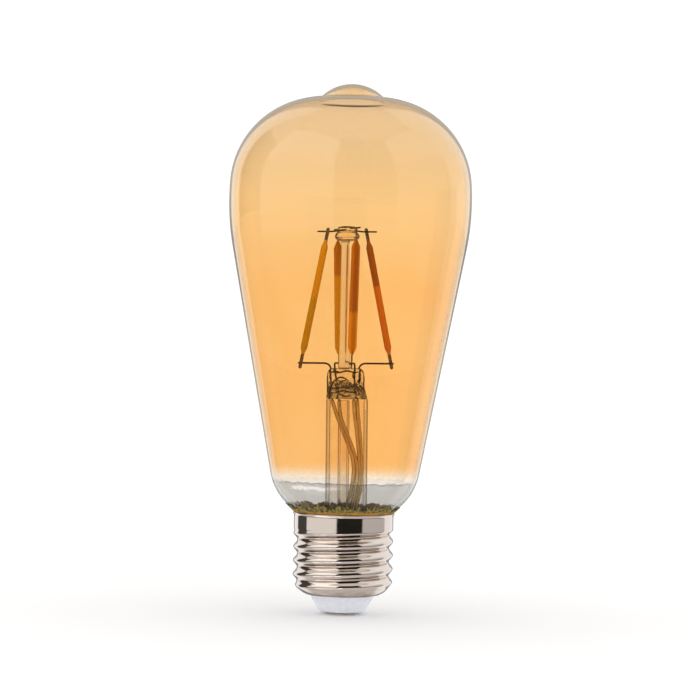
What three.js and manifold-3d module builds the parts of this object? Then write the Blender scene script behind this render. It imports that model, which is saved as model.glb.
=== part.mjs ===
// A wireless LED filament lamp: pear-shaped amber glass, ST64 outline, on an E27 screw cap.
// Millimetres. +Z runs up the lamp's axis from the underside of the centre contact (the origin) to the glass tip.
// -Y faces the viewer and +X is to the viewer's right.

import * as THREE from 'three';
import { mergeVertices } from 'three/addons/utils/BufferGeometryUtils.js';
import { ParametricGeometry } from 'three/addons/geometries/ParametricGeometry.js';
import Module from 'manifold-3d';

const wasm = await Module();
wasm.setup();

// ---------------------------------------------------------------- driving dimensions

const LAMP_HEIGHT = 140;
const GLASS_WALL = 0.8;
const NECK_END_Z = 19.2;

const THREAD_PITCH = 3.629; // seven threads to the inch
const THREAD_CREST_R = 13.2;
const THREAD_ROOT_R = 12.15;
const THREAD_FIRST_CREST_Z = 8.5; // on the +X side
const THREAD_TOP_Z = 21.4;
const THREAD_FADE = { from: 5.6, to: 8.8 }; // where the thread grows out of the rounded foot
const SHEET = 0.3; // wall of the pressed cap shell
const COLLAR_R = 13.0;
const RIM_R = 13.5;
const RIM_Z = 26.7;
const COLLAR_BLEND = 1.1;
const RIM_FLARE = 1.4;
const SHELL_FOOT_Z = 4.3;
const SHELL_FOOT_R = 8.4;
const SHELL_SIDES = 28;
const CONTACT_R = 4.6;
const CONTACT_T = 0.35;

const MOUNT_LEAN = 0.67; // degrees that the glass stem and its filaments lean towards -X
const MOUNT_BASE = { x: 0.15, z: 26 };
const STEM_TUBE_X = 0.42; // the tube and the rod were sealed a little off the stem's centre line
const STEM_ROD_X = -0.41;
const STEM_TUBE_R = 5.55;
const STEM_WALL = 0.85;
const STEM_TUBE_TOP_Z = 56.7;
const FLARE_R = 9.6;
const FLARE_START_Z = 27.3;
const PRESS = { foot: 57.0, shoulder: 60.4, top: 64.95, halfWidth: 4.9, halfDepth: 2.5 };
const BUTTON = { z: 98.5, height: 4.0, radius: 3.4 };

const FILAMENT = { length: 38, body: 30.9, topTab: 3.3, halfWidth: 1.15, halfDepth: 0.8 };
const FILAMENT_TOP = { z: 102.0, r: 4.95 };
const FILAMENT_FOOT = { z: 64.7, r: 12.2 };
const TAB = { width: 0.9, thickness: 0.25 };
const WELD_GAP = 0.26; // left between a tab and the wire it is welded to

const TOP_WIRE_R = 0.19;
const TOP_WIRE_HALF = 7.7;
const LEAD_WIRE_R = 0.21;
const LEAD_ARM_Z = 66.2;
const SLEEVE_R = 0.42;
const BORE_CLEARANCE = 0.29;

const BOARD = { width: 16, height: 10.4, thickness: 1.0, foot: 8.6 };

// ---------------------------------------------------------------- finishes

const finishes = {
  amberGlass: { color: 0xe0902a, roughness: 0.05, metalness: 0, transparent: true, opacity: 0.35 },
  clearGlass: { color: 0xdfe4de, roughness: 0.05, metalness: 0, transparent: true, opacity: 0.4 },
  nickel: { color: 0xcfc6bd, roughness: 0.18, metalness: 1 },
  contactMetal: { color: 0xc9b79a, roughness: 0.35, metalness: 1 },
  paleGlassCeramic: { color: 0xd4d6de, roughness: 0.35, metalness: 0 },
  cement: { color: 0x6e5f28, roughness: 0.9, metalness: 0 },
  goldenPhosphor: { color: 0xbe780a, roughness: 0.55, metalness: 0 },
  amberPhosphor: { color: 0xb45500, roughness: 0.55, metalness: 0 },
  tabMetal: { color: 0x6b5a44, roughness: 0.4, metalness: 1 },
  wireMetal: { color: 0x4a4238, roughness: 0.4, metalness: 1 },
  sleeve: { color: 0xb8792c, roughness: 0.5, metalness: 0 },
  laminate: { color: 0x1f5a3a, roughness: 0.5, metalness: 0 },
  blackPlastic: { color: 0x1c1c1e, roughness: 0.5, metalness: 0 },
  canSleeve: { color: 0x20283c, roughness: 0.4, metalness: 0 },
  resistorBody: { color: 0x8fb3a8, roughness: 0.6, metalness: 0 },
  ferrite: { color: 0x35363a, roughness: 0.7, metalness: 0 },
  copper: { color: 0xb86a3a, roughness: 0.35, metalness: 1 },
  shieldMetal: { color: 0xb9bcc0, roughness: 0.3, metalness: 1 },
  whiteSleeve: { color: 0xe6e4dc, roughness: 0.6, metalness: 0 },
  blackSleeve: { color: 0x232323, roughness: 0.6, metalness: 0 },
};

// ---------------------------------------------------------------- shape helpers

const radians = THREE.MathUtils.degToRad;
const point = (x, y, z) => new THREE.Vector3(x, y, z);

// A solid of revolution about Z. The profile is a list of [r, z] pairs that runs up the outside.
function turned(profile, sides = 24) {
  const points = profile.map(([r, z]) => new THREE.Vector2(r, z));
  return new THREE.LatheGeometry(points, sides).rotateX(Math.PI / 2);
}

// Walks a run of tangent steps, each { line } or { radius, turn, parts }, down the outside of a turned piece.
// Headings are degrees below the outward direction, and a positive turn bends downwards.
function walk(start, heading, steps) {
  const [r0, z0] = start;
  const at = { r: r0, z: z0, heading: radians(heading) };
  const stops = [{ ...at }];
  for (const step of steps) {
    const parts = step.parts ?? 1;
    const turn = radians(step.turn ?? 0) / parts;
    const chord = step.line ?? 2 * step.radius * Math.sin(Math.abs(turn) / 2);
    for (let i = 0; i < parts; i += 1) {
      at.r += chord * Math.cos(at.heading + turn / 2);
      at.z -= chord * Math.sin(at.heading + turn / 2);
      at.heading += turn;
      stops.push({ ...at });
    }
  }
  return stops;
}

// The profile of a wall of even thickness whose outside follows the stops of a walk.
function walled(stops, thickness) {
  const outside = stops.map((s) => [s.r, s.z]);
  const inside = stops.map((s) => [
    Math.max(0, s.r - thickness * Math.sin(s.heading)),
    s.z - thickness * Math.cos(s.heading),
  ]);
  return [...inside, ...outside.reverse()];
}

function circle(radius) {
  return new THREE.Shape().absarc(0, 0, radius, 0, 2 * Math.PI);
}

// A solid round wire along a path, with an even number of sides.
function drawn(path, radius, steps, sides = 6) {
  return new THREE.ExtrudeGeometry(circle(radius), {
    steps,
    curveSegments: sides / 2,
    bevelEnabled: false,
    extrudePath: path,
  });
}

// Straight runs through the given points, with each corner rounded over the bend length on both sides.
function bentPath(points, bend) {
  const path = new THREE.CurvePath();
  let from = points[0];
  points.slice(1, -1).forEach((corner, i) => {
    const before = corner.clone().add(points[i].clone().sub(corner).setLength(bend));
    const after = corner.clone().add(points[i + 2].clone().sub(corner).setLength(bend));
    path.add(new THREE.LineCurve3(from, before));
    path.add(new THREE.QuadraticBezierCurve3(before, corner, after));
    from = after;
  });
  path.add(new THREE.LineCurve3(from, points.at(-1)));
  return path;
}

// A straight round bar from one point to another.
function bar(from, to, radius, sides = 8) {
  const along = to.clone().sub(from);
  const turn = new THREE.Quaternion().setFromUnitVectors(point(0, 1, 0), along.clone().normalize());
  const middle = from.clone().add(to).multiplyScalar(0.5);
  return new THREE.CylinderGeometry(radius, radius, along.length(), sides)
    .applyQuaternion(turn)
    .translate(middle.x, middle.y, middle.z);
}

// A flat plate with its outline in X and Z and its thickness along Y, centred on y = 0.
function plate(shape, thickness, curveSegments = 6) {
  return new THREE.ExtrudeGeometry(shape, { depth: thickness, bevelEnabled: false, curveSegments })
    .translate(0, 0, -thickness / 2)
    .rotateX(Math.PI / 2);
}

function box(width, depth, height, at) {
  return new THREE.BoxGeometry(width, depth, height).translate(at.x, at.y, at.z);
}

function solid(geometry) {
  const bare = geometry.clone();
  bare.deleteAttribute('normal');
  bare.deleteAttribute('uv');
  const merged = mergeVertices(bare, 1e-4);
  return new wasm.Manifold(new wasm.Mesh({
    numProp: 3,
    vertProperties: merged.attributes.position.array,
    triVerts: new Uint32Array(merged.index.array),
  }));
}

function geometryOf(manifold) {
  const mesh = manifold.getMesh();
  return new THREE.BufferGeometry()
    .setAttribute('position', new THREE.BufferAttribute(mesh.vertProperties, 3))
    .setIndex(new THREE.BufferAttribute(mesh.triVerts, 1));
}

function cut(geometry, cutters) {
  return geometryOf(cutters.reduce((left, cutter) => left.subtract(solid(cutter)), solid(geometry)));
}

function joined(geometries) {
  return geometryOf(geometries.map(solid).reduce((whole, next) => whole.add(next)));
}

function add(group, name, geometry, finish) {
  const material = new THREE.MeshStandardMaterial(finishes[finish]);
  material.name = finish;
  const mesh = new THREE.Mesh(geometry, material);
  mesh.name = name;
  group.add(mesh);
  return mesh;
}

// ---------------------------------------------------------------- glass bulb

function glassEnvelope() {
  const outline = [
    { radius: 11.6, turn: 44.5, parts: 2 }, // moulded tip
    { radius: 1.5, turn: -42, parts: 2 },
    { radius: 23.9, turn: 83.5, parts: 8 }, // shoulder
    { radius: 69, turn: 4 }, // to the widest point
    { radius: 69, turn: 10.7, parts: 2 },
    { line: 60.4 }, // long taper
    { radius: 15.2, turn: 35.7, parts: 3 }, // heel
    { line: 4.0 },
    { radius: 3, turn: -46.4, parts: 2 }, // into the neck
  ];
  const stops = walk([0, LAMP_HEIGHT], 0, outline);
  const neck = stops.at(-1);
  stops.push({ r: neck.r, z: NECK_END_Z, heading: neck.heading });
  return turned(walled(stops, GLASS_WALL), 32);
}

// ---------------------------------------------------------------- screw cap

// The radius of the pressed shell's outside, with its rounded right-hand thread.
function shellRadius(angle, z) {
  const mean = (THREAD_CREST_R + THREAD_ROOT_R) / 2;
  const depth = THREAD_CREST_R - THREAD_ROOT_R;
  const phase = (z - THREAD_FIRST_CREST_Z) / THREAD_PITCH - angle / (2 * Math.PI);
  const thread = mean + (depth / 2) * Math.cos(2 * Math.PI * phase);
  const { clamp, lerp, smoothstep } = THREE.MathUtils;
  const flare = (RIM_R - COLLAR_R) * smoothstep(z, RIM_Z - RIM_FLARE, RIM_Z);
  const drop = clamp((THREAD_FIRST_CREST_Z - z) / (THREAD_FIRST_CREST_Z - SHELL_FOOT_Z), 0, 1);
  const foot = lerp(SHELL_FOOT_R, THREAD_ROOT_R + 0.2, Math.sqrt(1 - drop * drop));
  const aboveFoot = lerp(foot, thread, smoothstep(z, THREAD_FADE.from, THREAD_FADE.to));
  return lerp(aboveFoot, COLLAR_R + flare, smoothstep(z, THREAD_TOP_Z, THREAD_TOP_Z + COLLAR_BLEND));
}

function screwShell() {
  const threadRows = 18;
  const threadFoot = 8.2;
  const heights = [SHELL_FOOT_Z, 4.8, THREAD_FADE.from, 6.5, 7.4];
  for (let i = 0; i <= threadRows; i += 1) {
    heights.push(threadFoot + (i * (THREAD_TOP_Z - threadFoot)) / threadRows);
  }
  heights.push(THREAD_TOP_Z + COLLAR_BLEND, RIM_Z - RIM_FLARE, RIM_Z - 0.5, RIM_Z);
  const outside = heights.map((z) => ({ z, inset: 0 }));
  const inside = heights.map((z) => ({ z, inset: SHEET })).reverse();
  const loop = [...outside, ...inside, outside[0]];
  return new ParametricGeometry((u, v, target) => {
    const angle = 2 * Math.PI * (u % 1);
    const { z, inset } = loop[Math.round(v * (loop.length - 1))];
    const r = shellRadius(angle, z) - inset;
    target.set(r * Math.cos(angle), r * Math.sin(angle), z);
  }, SHELL_SIDES, loop.length - 1);
}

// The moulded insulator: a cone below the shell, and a plug inside it with a hole for the live wire.
function capInsulator() {
  const hole = 1.7;
  return turned([
    [hole, 0.5],
    [4.9, 0.5],
    [5.6, 0.9],
    [7.85, SHELL_FOOT_Z],
    [9.5, 5.8],
    [10.6, 7.3],
    [hole, 7.3],
    [hole, 0.5],
  ]);
}

function centreContact() {
  return turned([
    [0, 0],
    [4.2, 0],
    [CONTACT_R, 0.12],
    [CONTACT_R, CONTACT_T],
    [0.9, CONTACT_T],
    [0.9, 2.3],
    [0, 2.3],
  ]);
}

function basingCement() {
  const foot = 22.8;
  const top = RIM_Z - 0.5;
  return turned([
    [11.7, foot],
    [12.4, foot],
    [12.4, 25.2],
    [12.85, top],
    [12.65, top],
    [11.8, 25.0],
    [11.7, foot],
  ], SHELL_SIDES);
}

// ---------------------------------------------------------------- glass stem

// The tube that the leads run down. It flares out to meet the end of the bulb's neck.
function stemTube() {
  const bend = { radius: 7, turn: -40, parts: 3 };
  const lip = { radius: 2.4, turn: -25 };
  const cos = (degrees) => Math.cos(radians(degrees));
  const bendOut = bend.radius * (1 - cos(bend.turn));
  const lipOut = lip.radius * (cos(bend.turn) - cos(bend.turn + lip.turn));
  const slope = { line: (FLARE_R - STEM_TUBE_R - bendOut - lipOut) / Math.sin(-radians(bend.turn)) };
  const straight = { line: STEM_TUBE_TOP_Z - FLARE_START_Z };
  const outside = walk([STEM_TUBE_R, STEM_TUBE_TOP_Z], 90, [straight, bend, slope, lip]);
  const loop = walled(outside, STEM_WALL);
  return turned([...loop, loop[0]], 24);
}

// The pinched top of the stem: round at its foot, where it joins the tube, and flat at its top.
function stemPress() {
  const { foot, shoulder, top, halfWidth, halfDepth } = PRESS;
  const levels = [
    { z: foot, a: 0, b: 0, n: 2 },
    { z: foot, a: 5.1, b: 5.1, n: 2 },
    { z: foot + 1.6, a: 5.15, b: 4.3, n: 2.2 },
    { z: shoulder, a: halfWidth, b: halfDepth + 0.4, n: 3 },
    { z: shoulder + 1, a: halfWidth, b: halfDepth, n: 4 },
    { z: top - 1.5, a: halfWidth, b: halfDepth, n: 4 },
    { z: top - 0.4, a: halfWidth - 0.4, b: halfDepth - 0.3, n: 3.5 },
    { z: top, a: halfWidth - 1.3, b: halfDepth - 0.9, n: 3 },
    { z: top, a: 0, b: 0, n: 2 },
  ];
  const blend = (z) => THREE.MathUtils.lerp(STEM_TUBE_X, 0, (z - foot) / (shoulder - foot));
  const squircle = (value, n) => Math.sign(value) * Math.abs(value) ** (2 / n);
  return new ParametricGeometry((u, v, target) => {
    const level = levels[Math.round(v * (levels.length - 1))];
    const angle = 2 * Math.PI * (u % 1);
    const x = level.a * squircle(Math.cos(angle), level.n);
    const y = level.b * squircle(Math.sin(angle), level.n);
    target.set(x + Math.max(0, blend(level.z)), y, level.z);
  }, 24, levels.length - 1);
}

function exhaustTube() {
  const outer = 1.5;
  const inner = 0.95;
  return turned([
    [0, 21.6],
    [0.9, 22.2],
    [outer, 24],
    [outer, PRESS.foot - 0.6],
    [inner, PRESS.foot - 0.6],
    [inner, 25],
    [0, 23.6],
  ], 12).translate(STEM_ROD_X, 0, 0);
}

function supportRod() {
  const foot = PRESS.top + 0.25;
  return turned([
    [0, foot],
    [1.5, foot],
    [1.45, foot + 2],
    [1.06, BUTTON.z - 0.2],
    [0, BUTTON.z - 0.2],
  ], 12).translate(STEM_ROD_X, 0, 0);
}

function rodButton() {
  const { z, height, radius } = BUTTON;
  return turned([
    [0, z],
    [1.9, z + 0.05],
    [radius - 0.2, z + 0.7],
    [radius, z + 1.3],
    [radius - 0.3, z + 2.1],
    [2.5, z + 2.5],
    [2.75, z + 3.1],
    [2.2, z + height - 0.1],
    [0, z + height],
  ], 20);
}

// ---------------------------------------------------------------- wires and filaments

const topWires = [
  { name: 'side_to_side', azimuth: 0, z: 101.0, bow: 0.2 },
  { name: 'front_to_back', azimuth: 116, z: 101.8, bow: 0 },
];

function topWirePoints({ azimuth, z, bow }) {
  const along = (s) => point(s * Math.cos(radians(azimuth)), s * Math.sin(radians(azimuth)), z);
  const rise = (s) => along(s).add(point(0, 0, bow));
  return [along(-TOP_WIRE_HALF), along(-4), rise(-2.6), rise(2.6), along(4), along(TOP_WIRE_HALF)];
}

// Each filament hangs between a top wire and a lead wire. The azimuths are those of its two ends about the stem.
const filaments = [
  { name: 'left', top: 180, foot: 180, finish: 'goldenPhosphor' },
  { name: 'right', top: 0, foot: 0, finish: 'amberPhosphor' },
  { name: 'front', top: -64, foot: -84.7, finish: 'amberPhosphor' },
  { name: 'back', top: 116, foot: 97, finish: 'goldenPhosphor' },
];

const onRing = (azimuth, ring) => point(
  ring.r * Math.cos(radians(azimuth)),
  ring.r * Math.sin(radians(azimuth)),
  ring.z,
);

// A filament's own frame has its top end at the origin and runs down -Z, with its narrow edge facing out along +X.
function filamentFrame({ top, foot }) {
  const head = onRing(top, FILAMENT_TOP);
  const tail = onRing(foot, FILAMENT_FOOT);
  const up = head.clone().sub(tail).normalize();
  const outwards = onRing((top + foot) / 2, { r: 1, z: 0 });
  const side = up.clone().cross(outwards).normalize();
  const out = side.clone().cross(up).normalize();
  const frame = new THREE.Group();
  frame.setRotationFromMatrix(new THREE.Matrix4().makeBasis(out, side, up));
  const beside = side.clone().multiplyScalar(TAB.thickness / 2 + TOP_WIRE_R + WELD_GAP);
  frame.position.copy(head).add(beside);
  return frame;
}

function filamentBody() {
  const { body, topTab, halfWidth, halfDepth } = FILAMENT;
  const foot = -topTab - body + 0.1;
  const head = -topTab - 0.1;
  return turned([
    [0, foot],
    [0.35, foot],
    [0.45, foot + 0.8],
    [1, foot + 3.4],
    [1, head - 3.4],
    [0.45, head - 0.8],
    [0.35, head],
    [0, head],
  ], 12).scale(halfDepth, halfWidth, 1);
}

// A flat end tab, rounded at its free end, lying in the plane that the welded wire crosses.
function filamentTab(from, to, roundAt) {
  const half = TAB.width / 2;
  const shape = new THREE.Shape();
  shape.moveTo(-half, from);
  shape.lineTo(half, from);
  shape.lineTo(half, to - roundAt * half);
  shape.absarc(0, to - roundAt * half, half, 0, roundAt * Math.PI, roundAt < 0);
  shape.closePath();
  return plate(shape, TAB.thickness, 4);
}

function addFilament(mount, filament) {
  const { length, body, topTab } = FILAMENT;
  const frame = filamentFrame(filament);
  const gap = 0.15;
  add(frame, `filament_${filament.name}`, filamentBody(), filament.finish);
  add(frame, `filament_${filament.name}_top_tab`, filamentTab(-topTab + gap, 0, 1), 'tabMetal');
  add(frame, `filament_${filament.name}_foot_tab`, filamentTab(-topTab - body - gap, -length, -1), 'tabMetal');
  mount.add(frame);
}

// Where each lead passes through the press, and where its sleeved outer end goes inside the stem tube.
const leads = [
  {
    name: 'left',
    azimuth: 180,
    press: [point(-4.0, -0.4, 0), point(-3.4, -0.9, 0)],
    outer: [point(-2.9, -1.5, 54.8), point(-1.75, -2.9, 51.5), point(-0.75, -3.1, 48.9),
      point(0.45, -3.0, 45.8), point(1.65, -2.7, 42.4), point(2.25, -2.5, 39), point(2.1, -2.5, 35.6),
      point(1.5, -2.6, 32), point(0.2, -2.5, 27.5), point(-3.2, -1.7, 19.6)],
  },
  {
    name: 'back',
    azimuth: 97,
    press: [point(-3.1, 1.0, 0), point(-1.6, -2.0, 0)],
    outer: [point(-1.5, -2.1, 54.4), point(-1.0, -2.2, 51.5), point(0.0, -2.25, 48.9),
      point(1.2, -2.2, 45.8), point(2.4, -1.9, 42.4), point(3.1, -1.7, 39), point(3.1, -1.7, 35.6),
      point(2.6, -1.8, 32), point(1.4, -2.0, 27.5), point(-1.2, -1.7, 19.6)],
  },
  {
    name: 'front',
    azimuth: -84.7,
    press: [point(2.4, -1.0, 0), point(2.2, -0.9, 0)],
    outer: [point(2.25, -0.9, 54.6), point(2.45, -0.9, 52.6), point(3.05, -0.7, 48.1),
      point(3.4, -0.6, 44.7), point(3.7, -0.5, 41.3), point(3.9, -0.5, 36.7), point(3.65, -0.6, 33.3),
      point(2.9, -0.8, 30.6), point(1.9, -1.2, 27.5), point(1.0, -1.7, 19.6)],
  },
  {
    name: 'right',
    azimuth: 0,
    press: [point(3.5, 0.4, 0), point(3.2, 0.4, 0)],
    outer: [point(3.25, 0.35, 54.6), point(3.4, 0.35, 52.6), point(3.9, 0.4, 48.1),
      point(4.2, 0.4, 44.7), point(4.4, 0.45, 41.3), point(4.45, 0.45, 36.7), point(4.3, 0.3, 33.3),
      point(3.75, 0.1, 30.6), point(3.0, -0.3, 27.5), point(3.2, -1.5, 19.6)],
  },
];

const atHeight = (p, z) => point(p.x, p.y, z);

// The straight length of a lead that passes through the press, from just above it to just below.
function pressRun({ press: [top, foot] }) {
  return [atHeight(top, PRESS.top + 0.3), atHeight(foot, PRESS.foot - 0.3)];
}

function pressBore(lead) {
  const [top, foot] = pressRun(lead);
  const more = foot.clone().sub(top).setLength(1);
  return bar(top.clone().sub(more), foot.clone().add(more), LEAD_WIRE_R + BORE_CLEARANCE);
}

// The bare nickel lead: from the filament's foot tab, along its arm, and down through the press.
function leadWire(lead) {
  const past = 0.6;
  const climb = (LEAD_ARM_Z - FILAMENT_FOOT.z) / (FILAMENT_TOP.z - FILAMENT_FOOT.z);
  const jointR = THREE.MathUtils.lerp(FILAMENT_FOOT.r, FILAMENT_TOP.r, climb);
  const joint = onRing(lead.azimuth, { r: jointR, z: LEAD_ARM_Z });
  const corner = atHeight(lead.press[0], LEAD_ARM_Z);
  const end = joint.clone().add(joint.clone().sub(corner).setLength(past));
  return drawn(bentPath([end, corner, ...pressRun(lead)], 0.5), LEAD_WIRE_R, 24);
}

function outerLead({ press: [, foot], outer }) {
  const path = new THREE.CatmullRomCurve3([atHeight(foot, PRESS.foot - 0.8), ...outer], false, 'centripetal');
  return drawn(path, SLEEVE_R, 22);
}

function buildMount() {
  const mount = new THREE.Group();
  mount.position.set(MOUNT_BASE.x, 0, MOUNT_BASE.z);
  mount.rotation.y = -radians(MOUNT_LEAN);
  const inner = new THREE.Group();
  inner.position.z = -MOUNT_BASE.z;
  mount.add(inner);

  add(inner, 'stem_flare_tube', stemTube().translate(STEM_TUBE_X, 0, 0), 'clearGlass');
  add(inner, 'stem_press', cut(stemPress(), leads.map(pressBore)), 'clearGlass');
  add(inner, 'exhaust_tube', exhaustTube(), 'clearGlass');
  add(inner, 'support_rod', supportRod(), 'clearGlass');

  const bores = topWires.map((wire) => {
    const points = topWirePoints(wire);
    return bar(points[1], points[4], TOP_WIRE_R + BORE_CLEARANCE)
      .translate(0, 0, wire.bow);
  });
  add(inner, 'rod_button', cut(rodButton(), bores), 'clearGlass');
  for (const wire of topWires) {
    add(inner, `anchor_wire_${wire.name}`, drawn(bentPath(topWirePoints(wire), 0.4), TOP_WIRE_R, 14), 'wireMetal');
  }
  for (const filament of filaments) {
    addFilament(inner, filament);
  }
  for (const lead of leads) {
    add(inner, `lead_wire_${lead.name}`, leadWire(lead), 'wireMetal');
    add(inner, `outer_lead_${lead.name}`, outerLead(lead), 'sleeve');
  }
  return mount;
}

// ---------------------------------------------------------------- driver and radio inside the cap

// A chip body with legs on its two long sides, lying on the board's front. Pins run along X.
function chip({ width, height, depth, pins, pitch, legWidth }) {
  const pieces = [box(width, depth, height, point(0, 0, 0))];
  const legReach = 0.9;
  for (const side of [-1, 1]) {
    for (let i = 0; i < pins; i += 1) {
      const x = (i - (pins - 1) / 2) * pitch;
      const z = side * (height / 2 + legReach / 2 - 0.1);
      pieces.push(box(legWidth, 0.25, legReach + 0.2, point(x, depth * 0.3, z)));
    }
  }
  return joined(pieces);
}

function buildDriver() {
  const driver = new THREE.Group();
  const { width, height, thickness, foot } = BOARD;
  const face = thickness / 2 + 0.15; // where parts stand off each side of the board
  const middle = foot + height / 2;

  add(driver, 'driver_board', box(width, thickness, height, point(0, 0, middle)), 'laminate');

  const rectifier = { width: 4.7, height: 3.8, depth: 1.8, pins: 2, pitch: 2.5, legWidth: 0.6 };
  add(driver, 'bridge_rectifier', chip(rectifier), 'blackPlastic')
    .position.set(-0.6, -face - 0.9, 15.6);

  const controller = { width: 4.9, height: 3.9, depth: 1.4, pins: 4, pitch: 1.27, legWidth: 0.42 };
  add(driver, 'led_driver_chip', chip(controller), 'blackPlastic')
    .position.set(4.6, -face - 0.7, 13.6);

  const capacitor = { r: 3.2, foot: 8.3, top: 17.6 };
  add(driver, 'smoothing_capacitor', turned([
    [0, capacitor.foot],
    [capacitor.r - 0.3, capacitor.foot],
    [capacitor.r - 0.3, capacitor.foot + 0.9],
    [capacitor.r, capacitor.foot + 1.3],
    [capacitor.r, capacitor.top - 0.4],
    [capacitor.r - 0.4, capacitor.top],
    [0, capacitor.top],
  ], 16), 'canSleeve').position.set(-3.6, face + capacitor.r, 0);

  const coil = { r: 2.9, waist: 1.4, flange: 0.9, foot: 8.4, height: 5.2 };
  const coilPlace = point(4.1, face + coil.r, coil.foot);
  add(driver, 'inductor_core', turned([
    [0, 0],
    [coil.r, 0],
    [coil.r, coil.flange],
    [coil.waist, coil.flange],
    [coil.waist, coil.height - coil.flange],
    [coil.r, coil.height - coil.flange],
    [coil.r, coil.height],
    [0, coil.height],
  ], 16), 'ferrite').position.copy(coilPlace);
  add(driver, 'inductor_winding', turned([
    [coil.waist + 0.2, coil.flange + 0.2],
    [coil.r - 0.35, coil.flange + 0.2],
    [coil.r - 0.35, coil.height - coil.flange - 0.2],
    [coil.waist + 0.2, coil.height - coil.flange - 0.2],
    [coil.waist + 0.2, coil.flange + 0.2],
  ], 16), 'copper').position.copy(coilPlace);

  const fuse = point(-5.2, -3.2, 9.2);
  add(driver, 'fusible_resistor', turned([
    [0, 0],
    [0.3, 0],
    [0.3, 1.0],
    [0.9, 1.2],
    [1.15, 1.7],
    [1.15, 6.6],
    [0.9, 7.1],
    [0.3, 7.3],
    [0.3, 8.6],
    [0, 8.6],
  ], 12), 'resistorBody').position.copy(fuse);

  const radio = { x: 3.0, y: -4.6, width: 10, height: 10.2, thickness: 0.8, foot: 8.3 };
  add(driver, 'radio_header', box(8, 3.1, 1.4, point(radio.x, -2.3, 9.2)), 'blackPlastic');
  add(driver, 'radio_board', box(
    radio.width,
    radio.thickness,
    radio.height,
    point(radio.x, radio.y, radio.foot + radio.height / 2),
  ), 'laminate');
  add(driver, 'radio_shield_can', box(7.4, 1.4, 6.2, point(radio.x, radio.y - 1.3, 12.2)), 'shieldMetal');

  // A printed meander antenna along the board's top edge.
  const track = 0.45;
  const leg = 2.0;
  const turns = 4;
  const antenna = [];
  for (let i = 0; i <= turns; i += 1) {
    const x = (i - turns / 2) * 1.7;
    antenna.push(box(track, 0.2, leg, point(x, 0, 0)));
    if (i < turns) {
      const z = (i % 2 ? -1 : 1) * (leg - track) / 2;
      antenna.push(box(1.7 + track, 0.2, track, point(x + 0.85, 0, z)));
    }
  }
  add(driver, 'radio_antenna', joined(antenna), 'copper').position.set(radio.x, radio.y - 0.65, 17.2);

  const livePath = bentPath([
    point(0, 0, 2.6),
    point(0, 0, 4.8),
    point(-0.5, -0.55, 7.7),
    point(-2.2, -1.9, 8.3),
    point(fuse.x, fuse.y, 8.3),
    point(fuse.x, fuse.y, fuse.z - 0.2),
  ], 0.3);
  add(driver, 'live_wire', drawn(livePath, 0.45, 14), 'blackSleeve');

  const neutralPath = bentPath([
    point(-7.0, 1.1, 10.5),
    point(-8.6, 1.1, 10.5),
    point(-10.9, 1.1, 14.6),
    point(-11.0, 1.1, 18.4),
  ], 0.8);
  add(driver, 'neutral_wire', drawn(neutralPath, 0.4, 14), 'whiteSleeve');
  return driver;
}

// ---------------------------------------------------------------- lamp

const lamp = new THREE.Group();
add(lamp, 'glass_envelope', glassEnvelope(), 'amberGlass');
add(lamp, 'screw_shell', screwShell(), 'nickel');
add(lamp, 'cap_insulator', capInsulator(), 'paleGlassCeramic');
add(lamp, 'centre_contact', centreContact(), 'contactMetal');
add(lamp, 'basing_cement', basingCement(), 'cement');
lamp.add(buildMount());
lamp.add(buildDriver());

export default lamp;
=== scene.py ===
"""The looks of an LED filament lamp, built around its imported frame.

Shapes are in millimetres until a piece is made of them, and materials work in metres.
"""
import math

import bmesh
import bpy
import numpy as np
from mathutils import Matrix, Vector, noise


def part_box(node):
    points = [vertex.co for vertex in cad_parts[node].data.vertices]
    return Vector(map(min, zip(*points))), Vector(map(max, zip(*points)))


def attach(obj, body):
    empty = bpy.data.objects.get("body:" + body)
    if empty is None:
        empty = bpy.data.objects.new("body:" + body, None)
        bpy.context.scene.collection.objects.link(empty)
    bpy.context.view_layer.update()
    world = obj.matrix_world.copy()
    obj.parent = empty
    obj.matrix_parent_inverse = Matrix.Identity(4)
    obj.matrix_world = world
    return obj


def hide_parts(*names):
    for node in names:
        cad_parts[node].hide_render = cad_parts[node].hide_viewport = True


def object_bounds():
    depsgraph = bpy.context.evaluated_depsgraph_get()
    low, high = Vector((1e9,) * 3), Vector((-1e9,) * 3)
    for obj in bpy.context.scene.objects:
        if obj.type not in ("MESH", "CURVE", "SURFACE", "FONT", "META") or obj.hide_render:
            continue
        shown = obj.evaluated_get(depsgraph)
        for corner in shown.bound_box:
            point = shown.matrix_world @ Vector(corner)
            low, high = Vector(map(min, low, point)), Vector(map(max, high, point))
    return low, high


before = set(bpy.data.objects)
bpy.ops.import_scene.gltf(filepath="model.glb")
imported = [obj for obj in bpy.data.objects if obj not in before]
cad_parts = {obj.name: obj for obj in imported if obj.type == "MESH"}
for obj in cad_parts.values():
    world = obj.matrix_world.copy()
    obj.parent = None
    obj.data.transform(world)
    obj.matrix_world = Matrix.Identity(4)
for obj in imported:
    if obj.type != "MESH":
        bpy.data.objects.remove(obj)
cad_low, cad_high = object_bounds()

MM = 0.001
BODY = "root"
RING_SIDES = 192  # round the bulb and the cap

# ---- dimensions, in millimetres

LAMP_HEIGHT = cad_high.z / MM
GLASS_WALL = 0.8
NECK_END_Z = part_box("glass_envelope")[0].z / MM
AMBER_EDGE_Z = 34.6  # the amber coating stops here, above the heel of the bulb
AMBER_FULL_Z = 39.6
AMBER_MIDDLE_Z = (86, 108)  # the coating changes to its middle colour over these heights
AMBER_TOP_Z = (108, 126)
DIP_LINE_Z = 35.0  # a thin line where the coating was cleared off
HEEL_SHADE_Z = (29, 34)
TIP_EDGE_Z = (118, 130)  # the painted shade along the glass's edges changes to its top colour over these heights
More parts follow.
